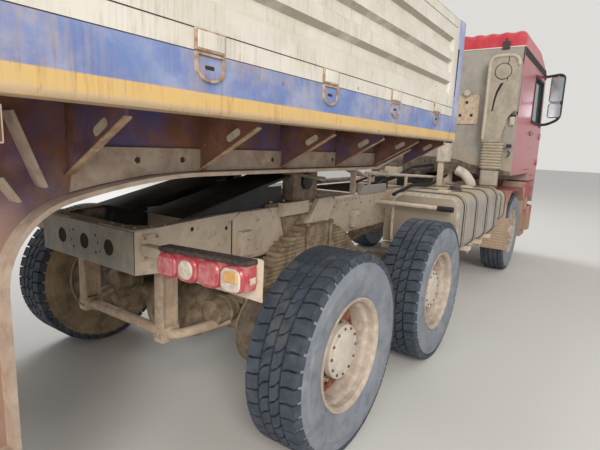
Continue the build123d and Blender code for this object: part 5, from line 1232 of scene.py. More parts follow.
def trailer_beams():
    """Both beams, their outriggers and cross members, and the coupling plate."""
    shape = Shape()
    y = -BEAM_Y

    def side_view(inset):
        """The gooseneck's outline, drawn in by inset: its front foot rises, and its rear drops in a sweep."""
        bend, corner, turn = 2.2, 0.24, radians(13.5)
        centre_x = KINGPIN - NECK + bend * sin(turn) + corner * (1 - sin(turn))
        outline = [(TRAILER_FRONT - 0.04 - inset, DECK - 0.03 - inset), (TRAILER_FRONT - 0.04 - inset, 1.598 + inset),
            (2.95, COUPLING + inset)]
        for index in range(9):
            part = turn * index / 8
            outline.append((centre_x - (bend + inset) * sin(part), COUPLING - bend + (bend + inset) * cos(part)))
        small_x = centre_x - (bend - corner) * sin(turn)
        small_z = COUPLING - bend + (bend - corner) * cos(turn)
        for index in range(1, 11):
            part = turn + (pi / 2 - turn) * index / 10
            outline.append((small_x - (corner + inset) * sin(part), small_z + (corner + inset) * cos(part)))
        outline += [(small_x - corner - inset, 0.69 + inset), (KINGPIN - 5.2, 0.69 + inset),
            (KINGPIN - 6.6, 1.19 + inset)]
        return outline + [(TRAILER_REAR + 0.09 + inset, 1.19 + inset),
            (TRAILER_REAR + 0.09 + inset, DECK - 0.03 - inset)]

    shape.ring(side_view(0), side_view(0.015), "y", (y - 0.065, y + 0.065), "gritty_flange")
    shape.prism(side_view(0.01), "y", (y - 0.006, y + 0.006), "dusted_web_paint", 0)
    doubler = [(0.942, 1.525), (1.02, 1.568), (3.2, 1.568), (3.2, 1.484), (1.432, 1.484), (1.2, 1.474), (1.02, 1.448),
        (0.93, 1.428)]
    shape.prism(doubler, "y", (y - 0.006, y - 0.016), "gritty_flange", 0.003)
    # Holes through the doubler: a rusted rim round a dark disc of painted shade
    for x in (0.973, 1.163, 1.357, 1.9, 2.45):
        shape.lathe((x, y - 0.0155, 1.525), "y", [(0, 0.017), (-0.0016, 0.016), (-0.0022, 0.011)], "rust_edge", 16)
        shape.lathe((x, y - 0.0155, 1.525), "y", [(0, 0.011), (-0.0026, 0.011)], "seam_dirt_and_shade", 14)
    shape.box((TRAILER_FRONT - 0.1, y - 0.006, 1.7935), (TRAILER_REAR + 0.1, y - 0.018, 1.7955), "rust_edge", 0)
    # Stiffeners that fan out over the drop, and upright ones behind it
    for (x0, z0), (x1, z1) in (((0.759, 1.654), (0.835, 1.451)), ((0.724, 1.482), (0.765, 1.415))):
        shape.prism([(x0, z0), (x0 + 0.009, z0 + 0.003), (x1 + 0.009, z1 + 0.003), (x1, z1)], "y",
            (y - 0.005, y - 0.064), "gritty_flange", 0.001)
    for x in (0.2, -0.6, -1.4, -2.2):
        shape.box((x, y - 0.004, 0.704), (x + 0.009, y - 0.063, 1.796), "gritty_flange", 0.001)
    # Air and lamp lines clipped along the inner side of the web
    for z, radius in ((1.69, 0.011), (1.662, 0.008), (1.64, 0.008)):
        shape.tube([(TRAILER_FRONT - 0.1, y + 0.03, z), (KINGPIN - 2.2, y + 0.03, z),
            (TRAILER_REAR + 0.6, y + 0.03, z)], radius, "black_rubber", 8)
    # Small box at the drop
    shape.box((0.52, -1.235, 1.575), (0.625, -1.165, 1.652), "pale_paint_and_slot_light", 0.004)

    def row_of(seed, name):
        """Repeats a shape at each outrigger, from the front to the rear."""
        add_repeated(shape, seed, 23, name, step=(-0.52, 0, 0), centre=(TRAILER_FRONT - 0.06, 0, 0))

    # Outrigger plates, darker than the webs as painted shade
    one = Shape()
    one.prism([(-1.2415, 1.809), (-1.2415, 1.6845), (-1.186, 1.6845), (-1.186, 1.65), (-0.892, 1.484),
        (-0.886, 1.484), (-0.886, 1.809)], "x", (0.0, 0.008), "rusty_beam_paint_and_shade", 0.0008)
    row_of(one, "rusty_beam_paint_and_shade")
    edge = Shape()
    edge.prism([(-0.892, 1.4795), (-1.19, 1.6465), (-1.19, 1.653), (-0.892, 1.486)], "x", (-0.009, 0.016),
        "outrigger_paint", 0.0015)
    edge.box((-0.009, -1.2405, 1.679), (0.016, -1.185, 1.6845), "outrigger_paint", 0.0015)
    row_of(edge, "outrigger_paint")
    # Oval slot through each outrigger, drawn as a pale plate on both faces: painted light seen through it
    slots = Shape()
    lean = radians(29.6)
    oval = [(-1.07 - a * cos(lean) + b * sin(lean), 1.623 + a * sin(lean) + b * cos(lean)) for a,
        b in rounded(0.072, 0.027, 0.013, (0, 0), 5)]
    slots.prism(oval, "x", (-0.0009, 0.0), "pale_paint_and_slot_light", 0)
    slots.prism(oval, "x", (0.008, 0.0089), "pale_paint_and_slot_light", 0)
    row_of(slots, "pale_paint_and_slot_light")
    shape.mirror_y()
    # Cross plates, also darker as painted shade
    cross = Shape()
    cross.box((0.0, y + 0.007, 1.56), (0.008, -y - 0.007, 1.809), "rusty_beam_paint_and_shade", 0.0008)
    row_of(cross, "rusty_beam_paint_and_shade")
    # Front cross plate, coupling plate with its lead-in, and the kingpin
    shape.box((TRAILER_FRONT - 0.04, y - 0.064, 1.598), (TRAILER_FRONT - 0.019, -y + 0.064, 1.81), "rusty_beam_paint_and_shade",
        0.004)
    sole = [(KINGPIN - 0.65, COUPLING), (3.25, COUPLING), (TRAILER_FRONT - 0.041, 1.59),
        (TRAILER_FRONT - 0.041, 1.604), (3.25, 1.479), (KINGPIN - 0.65, 1.479)]
    shape.prism(sole, "y", (y + 0.066, -y - 0.066), "gritty_flange", 0.002)
    shape.lathe((KINGPIN, 0, 1.47), "z", [(0, 0.06), (-0.008, 0.058), (-0.01, 0.0254), (-0.03, 0.0254),
        (-0.032, 0.018), (-0.06, 0.018), (-0.062, 0.0254), (-0.09, 0.025), (-0.093, 0.02)], "greased_steel", 24)
    shape.make("trailer_beams_welded", "trailer", ("trailer_beams",))


def trailer_gear():
    """Springs, brake chambers, drums and the reservoir of the trailer's bogie."""
    gear = Shape()
    bogie = (SPINS["trailer_front_wheel_left"].x + SPINS["trailer_rear_wheel_left"].x) / 2
    for name in ("trailer_front", "trailer_rear"):
        x = SPINS[f"{name}_wheel_left"].x
        for leaf in range(4):
            half = 0.5 - leaf * 0.1
            gear.prism([(x - half, 0.745 - 0.02 * leaf), (x, 0.725 - 0.024 * leaf), (x + half, 0.745 - 0.02 * leaf),
                (x + half, 0.757 - 0.02 * leaf), (x, 0.737 - 0.024 * leaf), (x - half, 0.757 - 0.02 * leaf)], "y",
                (-0.463, -0.537), "muddy_axle", 0.001)
        for dx in (-0.05, 0.05):
            for y in (-0.455, -0.545):
                gear.tube([(x + dx, y, 0.575), (x + dx, y, 0.755)], 0.011, "zinc_bolt", 8)
        gear.lathe((x - 0.16, -0.33, AXLE_HEIGHT + 0.11), "x",
            [(0.06, 0.03), (0.055, 0.075), (0.0, 0.082), (-0.02, 0.09), (-0.1, 0.076), (-0.112, 0.05)], "muddy_axle",
            20)
        gear.lathe((x, -0.62, AXLE_HEIGHT), "y", [(0, 0.205), (-0.012, 0.205), (-0.014, 0.19)], "cast_iron", 32)
    gear.lathe((bogie + 0.32, -0.4, 1.16), "y", [(0, 0.03), (0.02, 0.11), (0.06, 0.13), (0.74, 0.13), (0.78, 0.11),
        (0.8, 0.03)], "muddy_chassis", 28)
    gear.mirror_y()
    gear.make("trailer_gear", "trailer")


def leg_gearbox():
    """Bolts, gearbox and folded crank of the landing legs."""
    legs = Shape()
    x = KINGPIN - NECK - 0.4
    for z in (0.47, 0.6, 1.1, 1.48):
        for dx in (-0.02, 0.03):
            legs.bolt((x + dx, -0.8, z + 0.02), "-y", 0.012)
    legs.box((x - 0.055, -0.83, 0.98), (x + 0.055, -0.8, 1.12), "muddy_chassis", 0.008)
    legs.tube([(x, -0.826, 1.05), (x, -1.02, 1.05), (x, -1.03, 0.86), (x, -1.12, 0.85)], 0.011, "zinc_bolt", 10, 0.03)
    legs.make("leg_gearbox", "trailer")


def trailer_lamps():
    """Lenses and warning stripes of the trailer's tail."""
    tail = Shape()
    x = TRAILER_REAR + 0.22
    tail.box((x - 0.004, 0.566, 0.606), (x + 0.004, 1.014, 0.734), "grey_moulding", 0.004)
    for index, name in enumerate(("red_lens", "red_lens", "clear_lens", "amber_lens")):
        start = 0.575 + 0.11 * index
        lens(tail, (start, start + 0.1), (0.618, 0.722), 0.004, x - 0.004, 0.02, name, 0.01)
    tail.mirror_y()
    for y in [-1.05 + 0.3 * i for i in range(8)]:
        tail.box((x + 0.038, y, 0.5), (x + 0.0395, y + 0.15, 0.56),
            "red_moulding" if int(y * 10) % 2 else "cream_profile_paint", 0)
    tail.make("trailer_lamps", "trailer")


class LORRY_OT_beams(bpy.types.Operator):
    """Finishes the gooseneck beams with outrigger flanges, slots, stiffeners and doublers"""

    bl_idname = "lorry.beams"
    bl_label = "Gooseneck beams"

    def execute(self, context):
        dress(["trailer_bogie", "landing_legs", "trailer_tail"], "muddy_chassis")
        trailer_beams()
        trailer_gear()
        leg_gearbox()
        trailer_lamps()
        return {"FINISHED"}


def cab_back():
    """What stands on the cab's back wall."""
    back = Shape()
    x = CAB_BACK - 0.0008
    # Pressed ribs of the back wall, dark seal, and a dark strip along the top of each side
    back.box((x - 0.006, 0.3 - 0.02, 1.66), (x - 0.0005, 0.3 + 0.02, 2.78), "dusty_back_wall", 0.004)
    back.box((x - 0.008, 1.186, 2.07), (x - 0.0006, 1.197, 2.852), "black_rubber", 0.002)
    back.prism([(x + 0.002, 2.765), (x + 1.9, 2.765), (x + 1.86, 2.852), (x + 0.002, 2.852)], "y", (1.1995, 1.203),
        "black_rubber", 0)
    # Lock with its dark cap, and the hook under it
    back.box((x - 0.045, 1.122, 1.945), (x, 1.172, 2.05), "pale_bracket_paint", 0.008)
    back.box((x - 0.048, 1.112, 2.046), (x, 1.182, 2.066), "black_rubber", 0.004)
    hook = [(x - 0.002, 1.135, 1.57), (x - 0.024, 1.135, 1.572), (x - 0.028, 1.16, 1.59), (x - 0.028, 1.16, 1.622),
        (x - 0.026, 1.135, 1.64)]
    back.tube(hook, 0.007, "black_rubber", 8)
    back.mirror_y()
    back.prism([(-1.196, 1.345), (1.196, 1.345), (1.196, 2.852), (-1.196, 2.852)], "x", (x - 0.0012, x),
        "dusty_back_wall", 0)
    # A dark plate of painted shade at the pressing's foot, that steps up to the middle
    shade = [(-0.392, 1.53), (-0.565, 1.5), (-0.698, 1.455), (-1.19, 1.385), (-1.19, 1.342)]
    back.prism(shade + [(-y, z) for y, z in reversed(shade)], "x", (x - 0.0022, x - 0.001), "cast_iron", 0)
    # Drip edge under the roof
    back.box((x - 0.008, -1.199, 2.853), (x + 0.001, 1.199, 2.866), "cream_profile_paint", 0.002)
    # Bracket plate with three holes, its clamp, the small cylinder and the wiring clips
    bracket = rounded(0.314, 0.354, 0.03, (-0.585, 2.135))
    places = ((-0.59, 2.225), (-0.66, 2.065), (-0.52, 2.065))
    back.holed_plate(bracket, [(place, 0.02, 18) for place in places], "x", (x - 0.0185, x - 0.0155),
        "bracket_primer")
    # Dark discs behind the bracket's holes: painted shade
    for place in places:
        back.lathe((x - 0.0158, *place), "x", [(0, 0.026), (-0.0008, 0.026)], "seam_dirt_and_shade", 18)
    back.lathe((x - 0.016, -0.59, 2.335), "x", [(0, 0.02), (-0.01, 0.02), (-0.014, 0.034), (-0.03, 0.044),
        (-0.046, 0.04), (-0.058, 0.026), (-0.062, 0.008)], "pale_bracket_paint", 24)
    for y, z in ((-0.715, 2.285), (-0.455, 2.285), (-0.715, 1.985), (-0.455, 1.985)):
        back.bolt((x - 0.0185, y, z), "-x", 0.009)
    back.lathe((x, -0.33, 1.98), "x", [(0, 0.036), (-0.055, 0.036), (-0.062, 0.028), (-0.064, 0.01)],
        "pale_bracket_paint", 24)
    back.box((x - 0.03, -1.025, 2.835), (x - 0.001, -0.945, 2.925), "grey_moulding", 0.005)
    back.tube([(x - 0.02, -0.985, 2.925), (x - 0.02, -0.985, 2.965)], 0.008, "grey_moulding", 8)
    # Palm couplings for the air lines
    for y in (-0.4, -0.24, -0.1, 0.04):
        back.box((x - 0.012, y - 0.05, 1.7), (x, y + 0.05, 1.8), "grey_moulding", 0.006)
        back.lathe((x - 0.012, y, 1.75), "x", [(0, 0.034), (-0.03, 0.034), (-0.036, 0.026), (-0.038, 0.01)]
            if y != -0.4 else [(0, 0.02), (-0.004, 0.016)], "dark_strap", 20)
    # Grab rail
    back.tube([(x - 0.004, 0.52, 1.66), (x - 0.055, 0.52, 1.7), (x - 0.055, 0.52, 2.5), (x - 0.004, 0.52, 2.55)],
        0.014, "black_rubber", 12, 0.03)
    back.make("cab_back_fittings", "cab")


def cab_front():
    """Grille, wipers and visor."""
    front = Shape()
    nose = CAB_FRONT
    for index in range(7):
        z = 1.18 + index * 0.062
        front.box((nose - 0.004, -0.78, z), (nose + 0.01, 0.78, z + 0.044), "grey_moulding", 0.004)
    front.box((nose - 0.003, -0.82, 1.15), (nose + 0.0015, 0.82, 1.64), "black_rubber", 0)
    front.box((nose - 0.003, -0.98, 1.74), (nose + 0.012, 0.98, 1.762), "grey_moulding", 0.004)
    for side in (-1, 1):
        pivot = Vector((FRONT_AXLE + 1.392, side * 0.16, 1.952))
        front.tube([pivot, pivot + Vector((-0.01, side * 0.3, 0.07)), pivot + Vector((-0.075, side * 0.62, 0.3))],
            0.009, "black_rubber", 8)
        front.lathe(tuple(pivot + Vector((-0.02, 0, -0.01))), "x", [(0, 0.022), (0.024, 0.022), (0.03, 0.012)],
            "grey_moulding", 16)
    front.box((FRONT_AXLE + 1.215, -1.05, 2.745), (FRONT_AXLE + 1.262, 1.05, 2.775), "grey_moulding", 0.004)
    front.make("cab_front_fittings", "cab")


def cab_roof():
    """The fluted roof skin."""
    roof = Shape()
    x0, half, base = CAB_BACK, CAB_SIDE, 2.8605
    # Rounded flutes run over the roof from its rear edge to the slope above the windscreen
    columns = [-half + 2 * half * i / 160 for i in range(161)]
    spine = [(0.0, base), (0.0, 2.965), (0.006, 2.99), (0.02, 3.012), (0.042, 3.028), (0.075, 3.034), (1.225, 3.034),
        (1.3, 3.026), (1.845, 2.9), (1.9145, base)]
    points, loops = [], []
    for row, (dx, z) in enumerate(spine):
        for y in columns:
            edge = min(1.0, (half - abs(y)) / 0.06)
            wave = 0.5 - 0.5 * cos(2 * pi * (y + half) / 0.16)
            swell = 0.014 * wave * (1 if 1 < row < 8 else 0.6 if row in (1, 8) else 0)
            lean = 0.0 if edge >= 1 else 0.055 * (1 - sqrt(1 - (1 - edge) ** 2))
            drop = lean * (1 if 1 < row < 9 else 0.3 if row == 1 else 0)
            outwards = -swell * 0.85 if row < 4 else 0.0
            points.append((x0 + dx + outwards, y, max(base, z + (swell if row > 2 else 0) - drop)))
    count = len(columns)
    for row in range(len(spine) - 1):
        for i in range(count - 1):
            loops.append((row * count + i, row * count + i + 1, (row + 1) * count + i + 1, (row + 1) * count + i))
    loops.append([row * count for row in range(len(spine))])
    loops.append([row * count + count - 1 for row in range(len(spine))])
    loops.append([*range(count), *[(len(spine) - 1) * count + i for i in reversed(range(count))]])
    roof.faces(points, loops, "roof_enamel_and_highlight")
    roof.make("cab_roof_fluted", "cab", ("cab_roof",))


def doors_and_mirrors():
    """Handle, seals and waist rib of each door, and its two mirrors on their loop."""
    for side, way in SIDES:
        door = Shape()
        y = way * CAB_SIDE
        x = FRONT_AXLE
        door.box((x + 0.29, y - way * 0.002, 1.868), (x + 0.452, y + way * 0.004, 1.93), "black_rubber", 0.002)
        door.box((x + 0.3, y + way * 0.004, 1.885), (x + 0.44, y + way * 0.0285, 1.91), "grey_moulding", 0.006)
        edge = [(x + 0.29, 2.04), (x + 1.186, 2.04), (x + 1.066, 2.68), (x + 0.29, 2.68)]
        hole = [(x + 0.33, 2.08), (x + 1.142, 2.08), (x + 1.036, 2.64), (x + 0.33, 2.64)]
        door.ring(edge, hole, "y", (y - way * 0.001, y + way * 0.007), "black_rubber")
        jamb = [(x + 0.3105, 2.0605), (x + 1.1692, 2.0605), (x + 1.0546, 2.6595), (x + 0.3105, 2.6595)]
        door.ring(jamb, hole, "y", (y - way * 0.026, y + way * 0.001), "black_rubber")
        door.prism([(x + 0.25, 1.7), (x + 1.2, 1.7), (x + 1.2, 1.712), (x + 0.25, 1.712)], "y",
            (y - way * 0.001, y + way * 0.004), "red_cab_enamel", 0.001)
        door.make(f"door_{side}_fittings", f"door_{side}")
        mirror = Shape()
        at = x + 1.15
        foot, outer = way * 1.202, way * 1.458
        mirror.tube([(at, foot, 2.06), (at, way * 1.3, 2.072), (at, outer, 2.15), (at, outer, 2.77),
            (at, way * 1.4, 2.8), (at, foot, 2.77)], 0.02, "black_rubber", 12, 0.12)
        for z in (2.06, 2.77):
            mirror.prism([(at - 0.031, z - 0.041), (at + 0.031, z - 0.041), (at + 0.031, z + 0.041),
                (at - 0.031, z + 0.041)], "y", (way * 1.2005, way * 1.212), "grey_moulding", 0.003)
            for dx in (-0.02, 0.02):
                mirror.bolt((at + dx, way * 1.212, z), "y" if way > 0 else "-y", 0.007)
        for low, high in ((2.392, 2.764), (2.165, 2.38)):
            middle = (way * 1.38, (low + high) / 2)
            shell = rounded(0.18, high - low, 0.035, middle)
            inner = rounded(0.16, high - low - 0.022, 0.026, middle)
            crown = rounded(0.13, high - low - 0.05, 0.03, middle)
            mirror.loft([(at - 0.06, shell), (at - 0.01, shell), (at + 0.04, crown)], "x", "grey_moulding")
            mirror.prism(inner, "x", (at - 0.0625, at - 0.058), "mirror_glass", 0)
        mirror.make(f"mirror_{side}_moulded", f"door_{side}", (f"mirror_{side}",))


class LORRY_OT_cab(bpy.types.Operator):
    """Finishes the cab and adds its back wall fittings, grille, wipers, visor, fluted roof, door fittings and mirrors
    """

    bl_idname = "lorry.cab"
    bl_label = "Cab"

    def execute(self, context):
        dress(["cab_shell", "door_left", "door_right"], "red_cab_enamel")
        dress(["cab_glass", "door_glass_left", "door_glass_right"], "tinted_glass")
        dress(["cab_interior"], "seat_fabric")
        cab_back()
        cab_front()
        cab_roof()
        doors_and_mirrors()
        return {"FINISHED"}


def air_duct():
    """The duct on the cab's back wall."""
    duct = Shape()
    front = CAB_BACK - 0.15
    outline = [(-0.838, 1.73), (-1.062, 1.73), (-1.068, 1.94), (-1.088, 2.03), (-1.126, 2.082), (-1.196, 2.1),
        (-1.198, 2.64), (-1.18, 2.715), (-1.12, 2.755), (-0.905, 2.755), (-0.856, 2.728), (-0.838, 2.68)]
    duct.prism(outline, "x", (front, CAB_BACK - 0.0003), "dusty_plastic", 0.024, 4)
    rim = [(front - 0.001, y, z) for y, z in ((-0.856, 1.77), (-0.856, 2.66), (-0.874, 2.716), (-0.925, 2.738),
        (-1.11, 2.738), (-1.165, 2.7), (-1.182, 2.62))]
    duct.tube(rim, 0.019, "bleached_plastic", 12, 0.03)
    duct.lathe((front + 0.002, -1.01, 2.56), "x", [(0, 0.096), (-0.0035, 0.096), (-0.0035, 0.088), (0, 0.088)],
        "seam_dirt_and_shade", 40)
    duct.lathe((front + 0.002, -1.01, 2.56), "x", [(0, 0.088), (-0.008, 0.082), (-0.01, 0.05), (-0.01, 0.01)],
        "dusty_plastic", 40)
    curve = [(-1.02, 2.426), (-1.006, 2.428), (-0.985, 2.38), (-0.964, 2.325), (-0.945, 2.23), (-0.931, 2.104)]
    width = [0.007, 0.01, 0.012, 0.012, 0.011, 0.009]
    edge = [(y - w, z) for (y, z), w in zip(curve, width)] + [(y + w, z) for (y, z),
        w in reversed(list(zip(curve, width)))]
    duct.prism(edge, "x", (front - 0.0014, front + 0.001), "seam_dirt_and_shade", 0)
    duct.tube([(front, y + w + 0.009, z + 0.004) for (y, z), w in zip(curve, width)], 0.006, "bleached_plastic", 8)
    duct.tube([(front - 0.002, y, z) for y, z in ((-1.06, 2.735), (-1.062, 2.68), (-1.05, 2.64), (-1.072, 2.52),
        (-1.062, 2.45))], 0.004, "seam_dirt_and_shade", 8, 0.02)
    for y, z in ((-0.875, 2.1), (-1.17, 2.56), (-1.17, 2.2), (-1.045, 1.76), (-0.875, 1.76)):
        duct.bolt((front, y, z), "-x", 0.008)
    duct.box((front + 0.03, -1.17, 1.68), (CAB_BACK - 0.001, -1.13, 1.716), "black_rubber", 0.004)
    duct.make("air_intake_moulded", "cab", ("air_intake",))


def bellows():
    """The bellows under the duct, its sleeve and its pipe."""
    folds = Shape()
    x, y = CAB_BACK - 0.082, -0.97
    low, high, count = 1.41, 1.7297, 9
    pitch = (high - low) / count
    rings = []
    for index in range(count):
        foot = low + index * pitch
        rings += [(foot, -0.004), (foot + 0.25 * pitch, 0.01), (foot + 0.5 * pitch, 0.014),
            (foot + 0.75 * pitch, 0.01)]
    rings.append((high, -0.004))
    skin = [(z, rounded(0.104 + 2 * out, 0.23 + 2 * out, 0.04 + out, (x, y))) for z, out in rings]
    folds.loft(skin, "z", "dusty_plastic")
    folds.prism(rounded(0.104, 0.21, 0.035, (x, y + 0.005)), "z", (1.19, 1.409), "dusty_plastic", 0.006)
    for z in (1.392, 1.2):
        folds.prism(rounded(0.109, 0.216, 0.038, (x, y + 0.005)), "z", (z, z + 0.012), "dark_strap", 0.001)
    folds.tube([(x + 0.026, y + 0.03, 1.195), (x + 0.026, y + 0.03, 1.146), (x + 0.026, y + 0.1, 1.146),
        (x + 0.026, -RAIL_Y - 0.0005, 1.146)], 0.034, "dusty_plastic", 18, 0.035)
    folds.make("intake_bellows_folded", "tractor", ("intake_bellows",))


class LORRY_OT_intake(bpy.types.Operator):
    """Moulds the air intake's duct, and the bellows and pipe under it"""

    bl_idname = "lorry.intake"
    bl_label = "Air intake"

    def execute(self, context):
        air_duct()
        bellows()
        return {"FINISHED"}


def headlamps():
    """The lamps in the bumper."""
    shape = Shape()
    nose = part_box("bumper")[1].x
    y = (0.562, 0.858)
    shape.box((nose - 0.03, y[0], 0.562), (nose - 0.012, y[1], 0.738), "grey_moulding", 0.004)
    shape.box((nose - 0.014, y[0] + 0.006, 0.568), (nose - 0.006, y[1] - 0.006, 0.732), "clear_lens", 0.006)
    for index in (0, 1):
        shape.lathe((nose - 0.01, (y[0] + y[1]) / 2 - 0.068 + 0.136 * index, 0.65), "x",
            [(0, 0.058), (0.006, 0.052), (0.008, 0.02)], "clear_lens", 28)
    shape.mirror_y()
    shape.box((nose - 0.006, -0.26, 0.6), (nose + 0.001, 0.26, 0.71), "grey_moulding", 0.002)
    shape.make("headlamps", "tractor")


def flap_ribs():
    """Dusty ribs of the flaps behind the front wheels."""
    flaps = Shape()
    for index in range(9):
        z = 0.42 + index * 0.036
        flaps.box((FRONT_AXLE - 0.6695, 0.87, z), (FRONT_AXLE - 0.6675, 1.19, z + 0.012), "pale_paint_and_slot_light", 0.001)
    flaps.mirror_y()
    flaps.make("mudflap_ribs", "tractor")


class LORRY_OT_lower_cab(bpy.types.Operator):
    """Finishes the bumper, headlamps, arches, mudflaps, engine and front axle"""

    bl_idname = "lorry.lower_cab"
    bl_label = "Bumper, arches and front axle"

    def execute(self, context):
        dress(["bumper", "wheel_arches"], "red_moulding")
        dress(["engine"], "cast_iron")
        dress(["front_axle", "drive_bogie", "knuckle_left", "knuckle_right"], "muddy_axle")
        dress(["chassis_frame"], "chassis_rail_paint")
        dress(["fifth_wheel"], "coupling_grime")
        headlamps()
        flap_ribs()
        return {"FINISHED"}


def smooth_line(route):
    """Points along a smooth curve that is drawn towards those of the route."""
    line = bpy.data.curves.new("air_line_route", "CURVE")
    line.dimensions = "3D"
    line.resolution_u = 24
    spline = line.splines.new("NURBS")
    spline.points.add(len(route) - 1)
    for point, at in zip(spline.points, route):
        point.co = (*at, 1.0)
    spline.order_u = 3
    spline.use_endpoint_u = True
    holder = put("air_line_route", line)
    centre = bpy.data.meshes.new_from_object(holder.evaluated_get(bpy.context.evaluated_depsgraph_get()))
    points = [vertex.co.copy() for vertex in centre.vertices]
    bpy.data.objects.remove(holder)
    return points


class LORRY_OT_air_line(bpy.types.Operator):
    """Coils the air line between the trailer's front and the cab's back wall"""

    bl_idname = "lorry.air_line"
    bl_label = "Coiled air line"

    def execute(self, context):
        start = Vector((TRAILER_FRONT - 0.018, -0.5, 1.56))
        end = Vector((CAB_BACK, -0.4, 1.75))
        route = [start, start + Vector((0.12, 0, 0))]
        for share in (0.3, 0.5, 0.7):
            route.append(start.lerp(end, share) - Vector((0, 0, 0.3 * share * (1 - share))))
        route += [end - Vector((0.12, 0, 0)), end]
        spine = smooth_line(route)
        lengths = [0.0]
        for a, b in zip(spine, spine[1:]):
            lengths.append(lengths[-1] + (b - a).length)
        settings = context.scene.lorry_hose
        turns, radius, bore = settings.turns, settings.coil_radius, settings.thickness / 2
        lead = 0.2

        def spot(distance):
            for index in range(len(spine) - 1):
                if distance <= lengths[index + 1] or index == len(spine) - 2:
                    share = (distance - lengths[index]) / (lengths[index + 1] - lengths[index])
                    return spine[index].lerp(spine[index + 1], share), (spine[index + 1] - spine[index]).normalized()

        path = []
        steps = turns * 14
        for index in range(6):
            path.append(spot(lead * index / 6)[0])
        for index in range(steps + 1):
            share = index / steps
            at, ahead = spot(lead + (lengths[-1] - 2 * lead) * share)
            across = ahead.cross(Vector((0, 0, 1))).normalized()
            up = across.cross(ahead)
            reach = radius * min(1.0, index / 7, (steps - index) / 7)
            turn = 2 * pi * turns * share
            path.append(at + reach * (cos(turn) * across + sin(turn) * up))
        for index in range(1, 7):
            path.append(spot(lengths[-1] - lead + lead * index / 6)[0])
        shape = Shape()
        shape.tube(path, bore, "polyurethane_hose", 8)
        piece = shape.make("air_line_coiled", None, ("air_line",))
        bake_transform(piece)
        return {"FINISHED"}


def studio_light(scene, look):
    """Even light from all round, and three large soft lamps."""
    world = bpy.data.worlds.new("studio")
    scene.world = world
    world.use_nodes = True
    tree = world.node_tree
    tree.nodes.clear()
    path = node(tree, "ShaderNodeLightPath")
    seen = node(tree, "ShaderNodeBackground", {"Color": colour("#dedcd8"), "Strength": 1.0})
    given = node(tree, "ShaderNodeBackground", {"Color": colour("#f4f4f4"), "Strength": look.ambient})
    both = node(tree, "ShaderNodeMixShader", {0: path.outputs["Is Camera Ray"], 1: given.outputs[0],
        2: seen.outputs[0]})
    node(tree, "ShaderNodeOutputWorld", {"Surface": both.outputs[0]})
    for name, place, aim, size, power, tint in (
        ("key", (-9.0, -11.0, 10.0), (2.0, -0.5, 1.0), 7.0, look.key, "#fffaf3"),
        ("fill", (-6.0, -4.0, 2.2), (2.0, -0.5, 1.2), 4.0, look.fill, "#fbfbff"),
        ("rim", (10.0, 9.0, 9.0), (2.0, 0.0, 1.5), 8.0, look.rim, "#fbfcff"),
    ):
        lamp = bpy.data.lights.new(name, "AREA")
        lamp.shape = "DISK"
        lamp.size = size
        lamp.energy = power
        lamp.color = colour(tint)[:3]
        holder = put(name, lamp)
        holder.location = place
        holder.rotation_euler = (Vector(aim) - Vector(place)).to_track_quat("-Z", "Y").to_euler()


def aim_camera(scene, look):
    """The camera at the place and the angles of the settings."""
    yaw, pitch, roll = (radians(a) for a in (look.yaw, look.pitch, look.roll))
    ahead = Vector((cos(yaw) * cos(pitch), sin(yaw) * cos(pitch), -sin(pitch)))
    right = ahead.cross(Vector((0, 0, 1))).normalized()
    up = right.cross(ahead)
    level = right * cos(roll) + up * sin(roll)
    upright = up * cos(roll) - right * sin(roll)
    lens_data = bpy.data.cameras.new("camera")
    lens_data.sensor_width = 36.0
    lens_data.lens = look.lens
    lens_data.clip_end = 200.0
    camera = put("camera", lens_data)
    basis = Matrix((level, upright, -ahead)).transposed().to_4x4()
    basis.translation = Vector(look.eye)
    camera.matrix_world = basis
    scene.camera = camera


class LORRY_OT_stage(bpy.types.Operator):
    """Sets the floor, the soft lights and the camera"""

    bl_idname = "lorry.stage"
    bl_label = "Floor, lights and camera"

    def execute(self, context):
        scene = context.scene
        mesh = bpy.data.meshes.new("floor")
        mesh.from_pydata([(-60, -60, 0), (60, -60, 0), (60, 60, 0), (-60, 60, 0)], [], [(0, 1, 2, 3)])
        mesh.materials.append(finish("pale_floor", "#d9d7d2", roughness=0.9, grain=0.0))
        put("floor", mesh)
        studio_light(scene, scene.lorry_stage)
        aim_camera(scene, scene.lorry_stage)
        scene.view_settings.view_transform = "Standard"
        return {"FINISHED"}


def metres(name, description, **settings):
    """A length that the sidebar shows in metres."""
    return FloatProperty(name=name, description=description, unit="LENGTH", precision=4, **settings)


class LorryWheels(bpy.types.PropertyGroup):
    """Sizes of the wheels' detail"""

    tread_pitches: IntProperty(name="Tread pitches",
        description="Number of blocks around a traction tyre, in each row", default=44, min=20, max=80)


class LorryHose(bpy.types.PropertyGroup):
    """Sizes of the coiled air line"""

    turns: IntProperty(name="Turns", description="Number of turns of the coil", default=34, min=4, max=80)
    coil_radius: metres("Coil radius", "From the coil's axis to the middle of the hose", default=0.029, min=0.01,
        max=0.06)
    thickness: metres("Hose diameter", "Outer diameter of the hose", default=0.011, min=0.004, max=0.02)


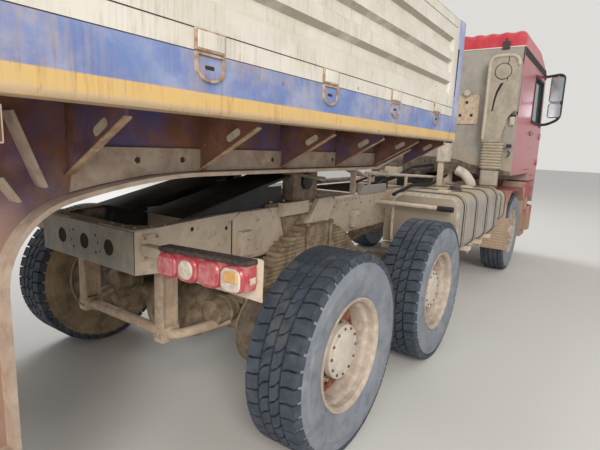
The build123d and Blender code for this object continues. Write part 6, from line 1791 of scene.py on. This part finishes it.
class LorryStage(bpy.types.PropertyGroup):
    """The camera's place and the power of the lights"""

    eye: FloatVectorProperty(name="Camera place", description="Where the camera stands, in metres",
        default=(0.226, -2.223, 1.594), size=3, unit="LENGTH")
    yaw: FloatProperty(name="Yaw", description="Turn of the view from the lorry's own heading, in degrees",
        default=34.55)
    pitch: FloatProperty(name="Pitch", description="How far the view looks down, in degrees", default=10.03)
    roll: FloatProperty(name="Roll", description="Roll of the camera about its view, in degrees", default=2.35)
    lens: FloatProperty(name="Lens", description="Focal length on a 36 mm sensor, in millimetres", default=26.75)
    ambient: FloatProperty(name="Ambient", description="Strength of the even light from all round", default=0.68,
        min=0.0)
    key: FloatProperty(name="Key", description="Power of the large light from behind the camera, in watts",
        default=1700.0, min=0.0, unit="POWER")
    fill: FloatProperty(name="Fill", description="Power of the low light into the frame, in watts", default=200.0,
        min=0.0, unit="POWER")
    rim: FloatProperty(name="Rim", description="Power of the light from ahead and left, in watts", default=900.0,
        min=0.0, unit="POWER")


OPERATORS = (
    LORRY_OT_air_line,
    LORRY_OT_tyres,
    LORRY_OT_rims,
    LORRY_OT_tail,
    LORRY_OT_frame_fittings,
    LORRY_OT_drive_gear,
    LORRY_OT_tanks,
    LORRY_OT_boards,
    LORRY_OT_rails,
    LORRY_OT_beams,
    LORRY_OT_cab,
    LORRY_OT_intake,
    LORRY_OT_lower_cab,
)


class LORRY_PT_panel(bpy.types.Panel):
    """Lists the lorry's pieces and their sizes"""

    bl_idname = "LORRY_PT_panel"
    bl_label = "Lorry"
    bl_space_type = "VIEW_3D"
    bl_region_type = "UI"
    bl_category = "Lorry"

    def draw(self, context):
        scene = context.scene
        column = self.layout.column(align=True)
        for operator in (LORRY_OT_stage, *OPERATORS):
            column.operator(operator.bl_idname)
        for group, names in (
            (scene.lorry_wheels, ("tread_pitches",)),
            (scene.lorry_hose, ("turns", "coil_radius", "thickness")),
            (scene.lorry_stage, ("eye", "yaw", "pitch", "roll", "lens", "ambient", "key", "fill", "rim")),
        ):
            box = self.layout.box()
            for name in names:
                box.prop(group, name)


CLASSES = (LorryWheels, LorryHose, LorryStage, LORRY_OT_stage, *OPERATORS, LORRY_PT_panel)


def register():
    """Adds the add-on's classes and its settings to the scene type."""
    for kind in CLASSES:
        bpy.utils.register_class(kind)
    bpy.types.Scene.lorry_wheels = PointerProperty(type=LorryWheels)
    bpy.types.Scene.lorry_hose = PointerProperty(type=LorryHose)
    bpy.types.Scene.lorry_stage = PointerProperty(type=LorryStage)


def unregister():
    """Takes the settings and classes away again."""
    del bpy.types.Scene.lorry_stage
    del bpy.types.Scene.lorry_hose
    del bpy.types.Scene.lorry_wheels
    for kind in reversed(CLASSES):
        bpy.utils.unregister_class(kind)


def main():
    """Dresses the whole lorry."""
    register()
    mix_finishes()
    for operator in (LORRY_OT_stage, *OPERATORS):
        group, name = operator.bl_idname.split(".")
        getattr(getattr(bpy.ops, group), name)()


if __name__ == "__main__":
    main()
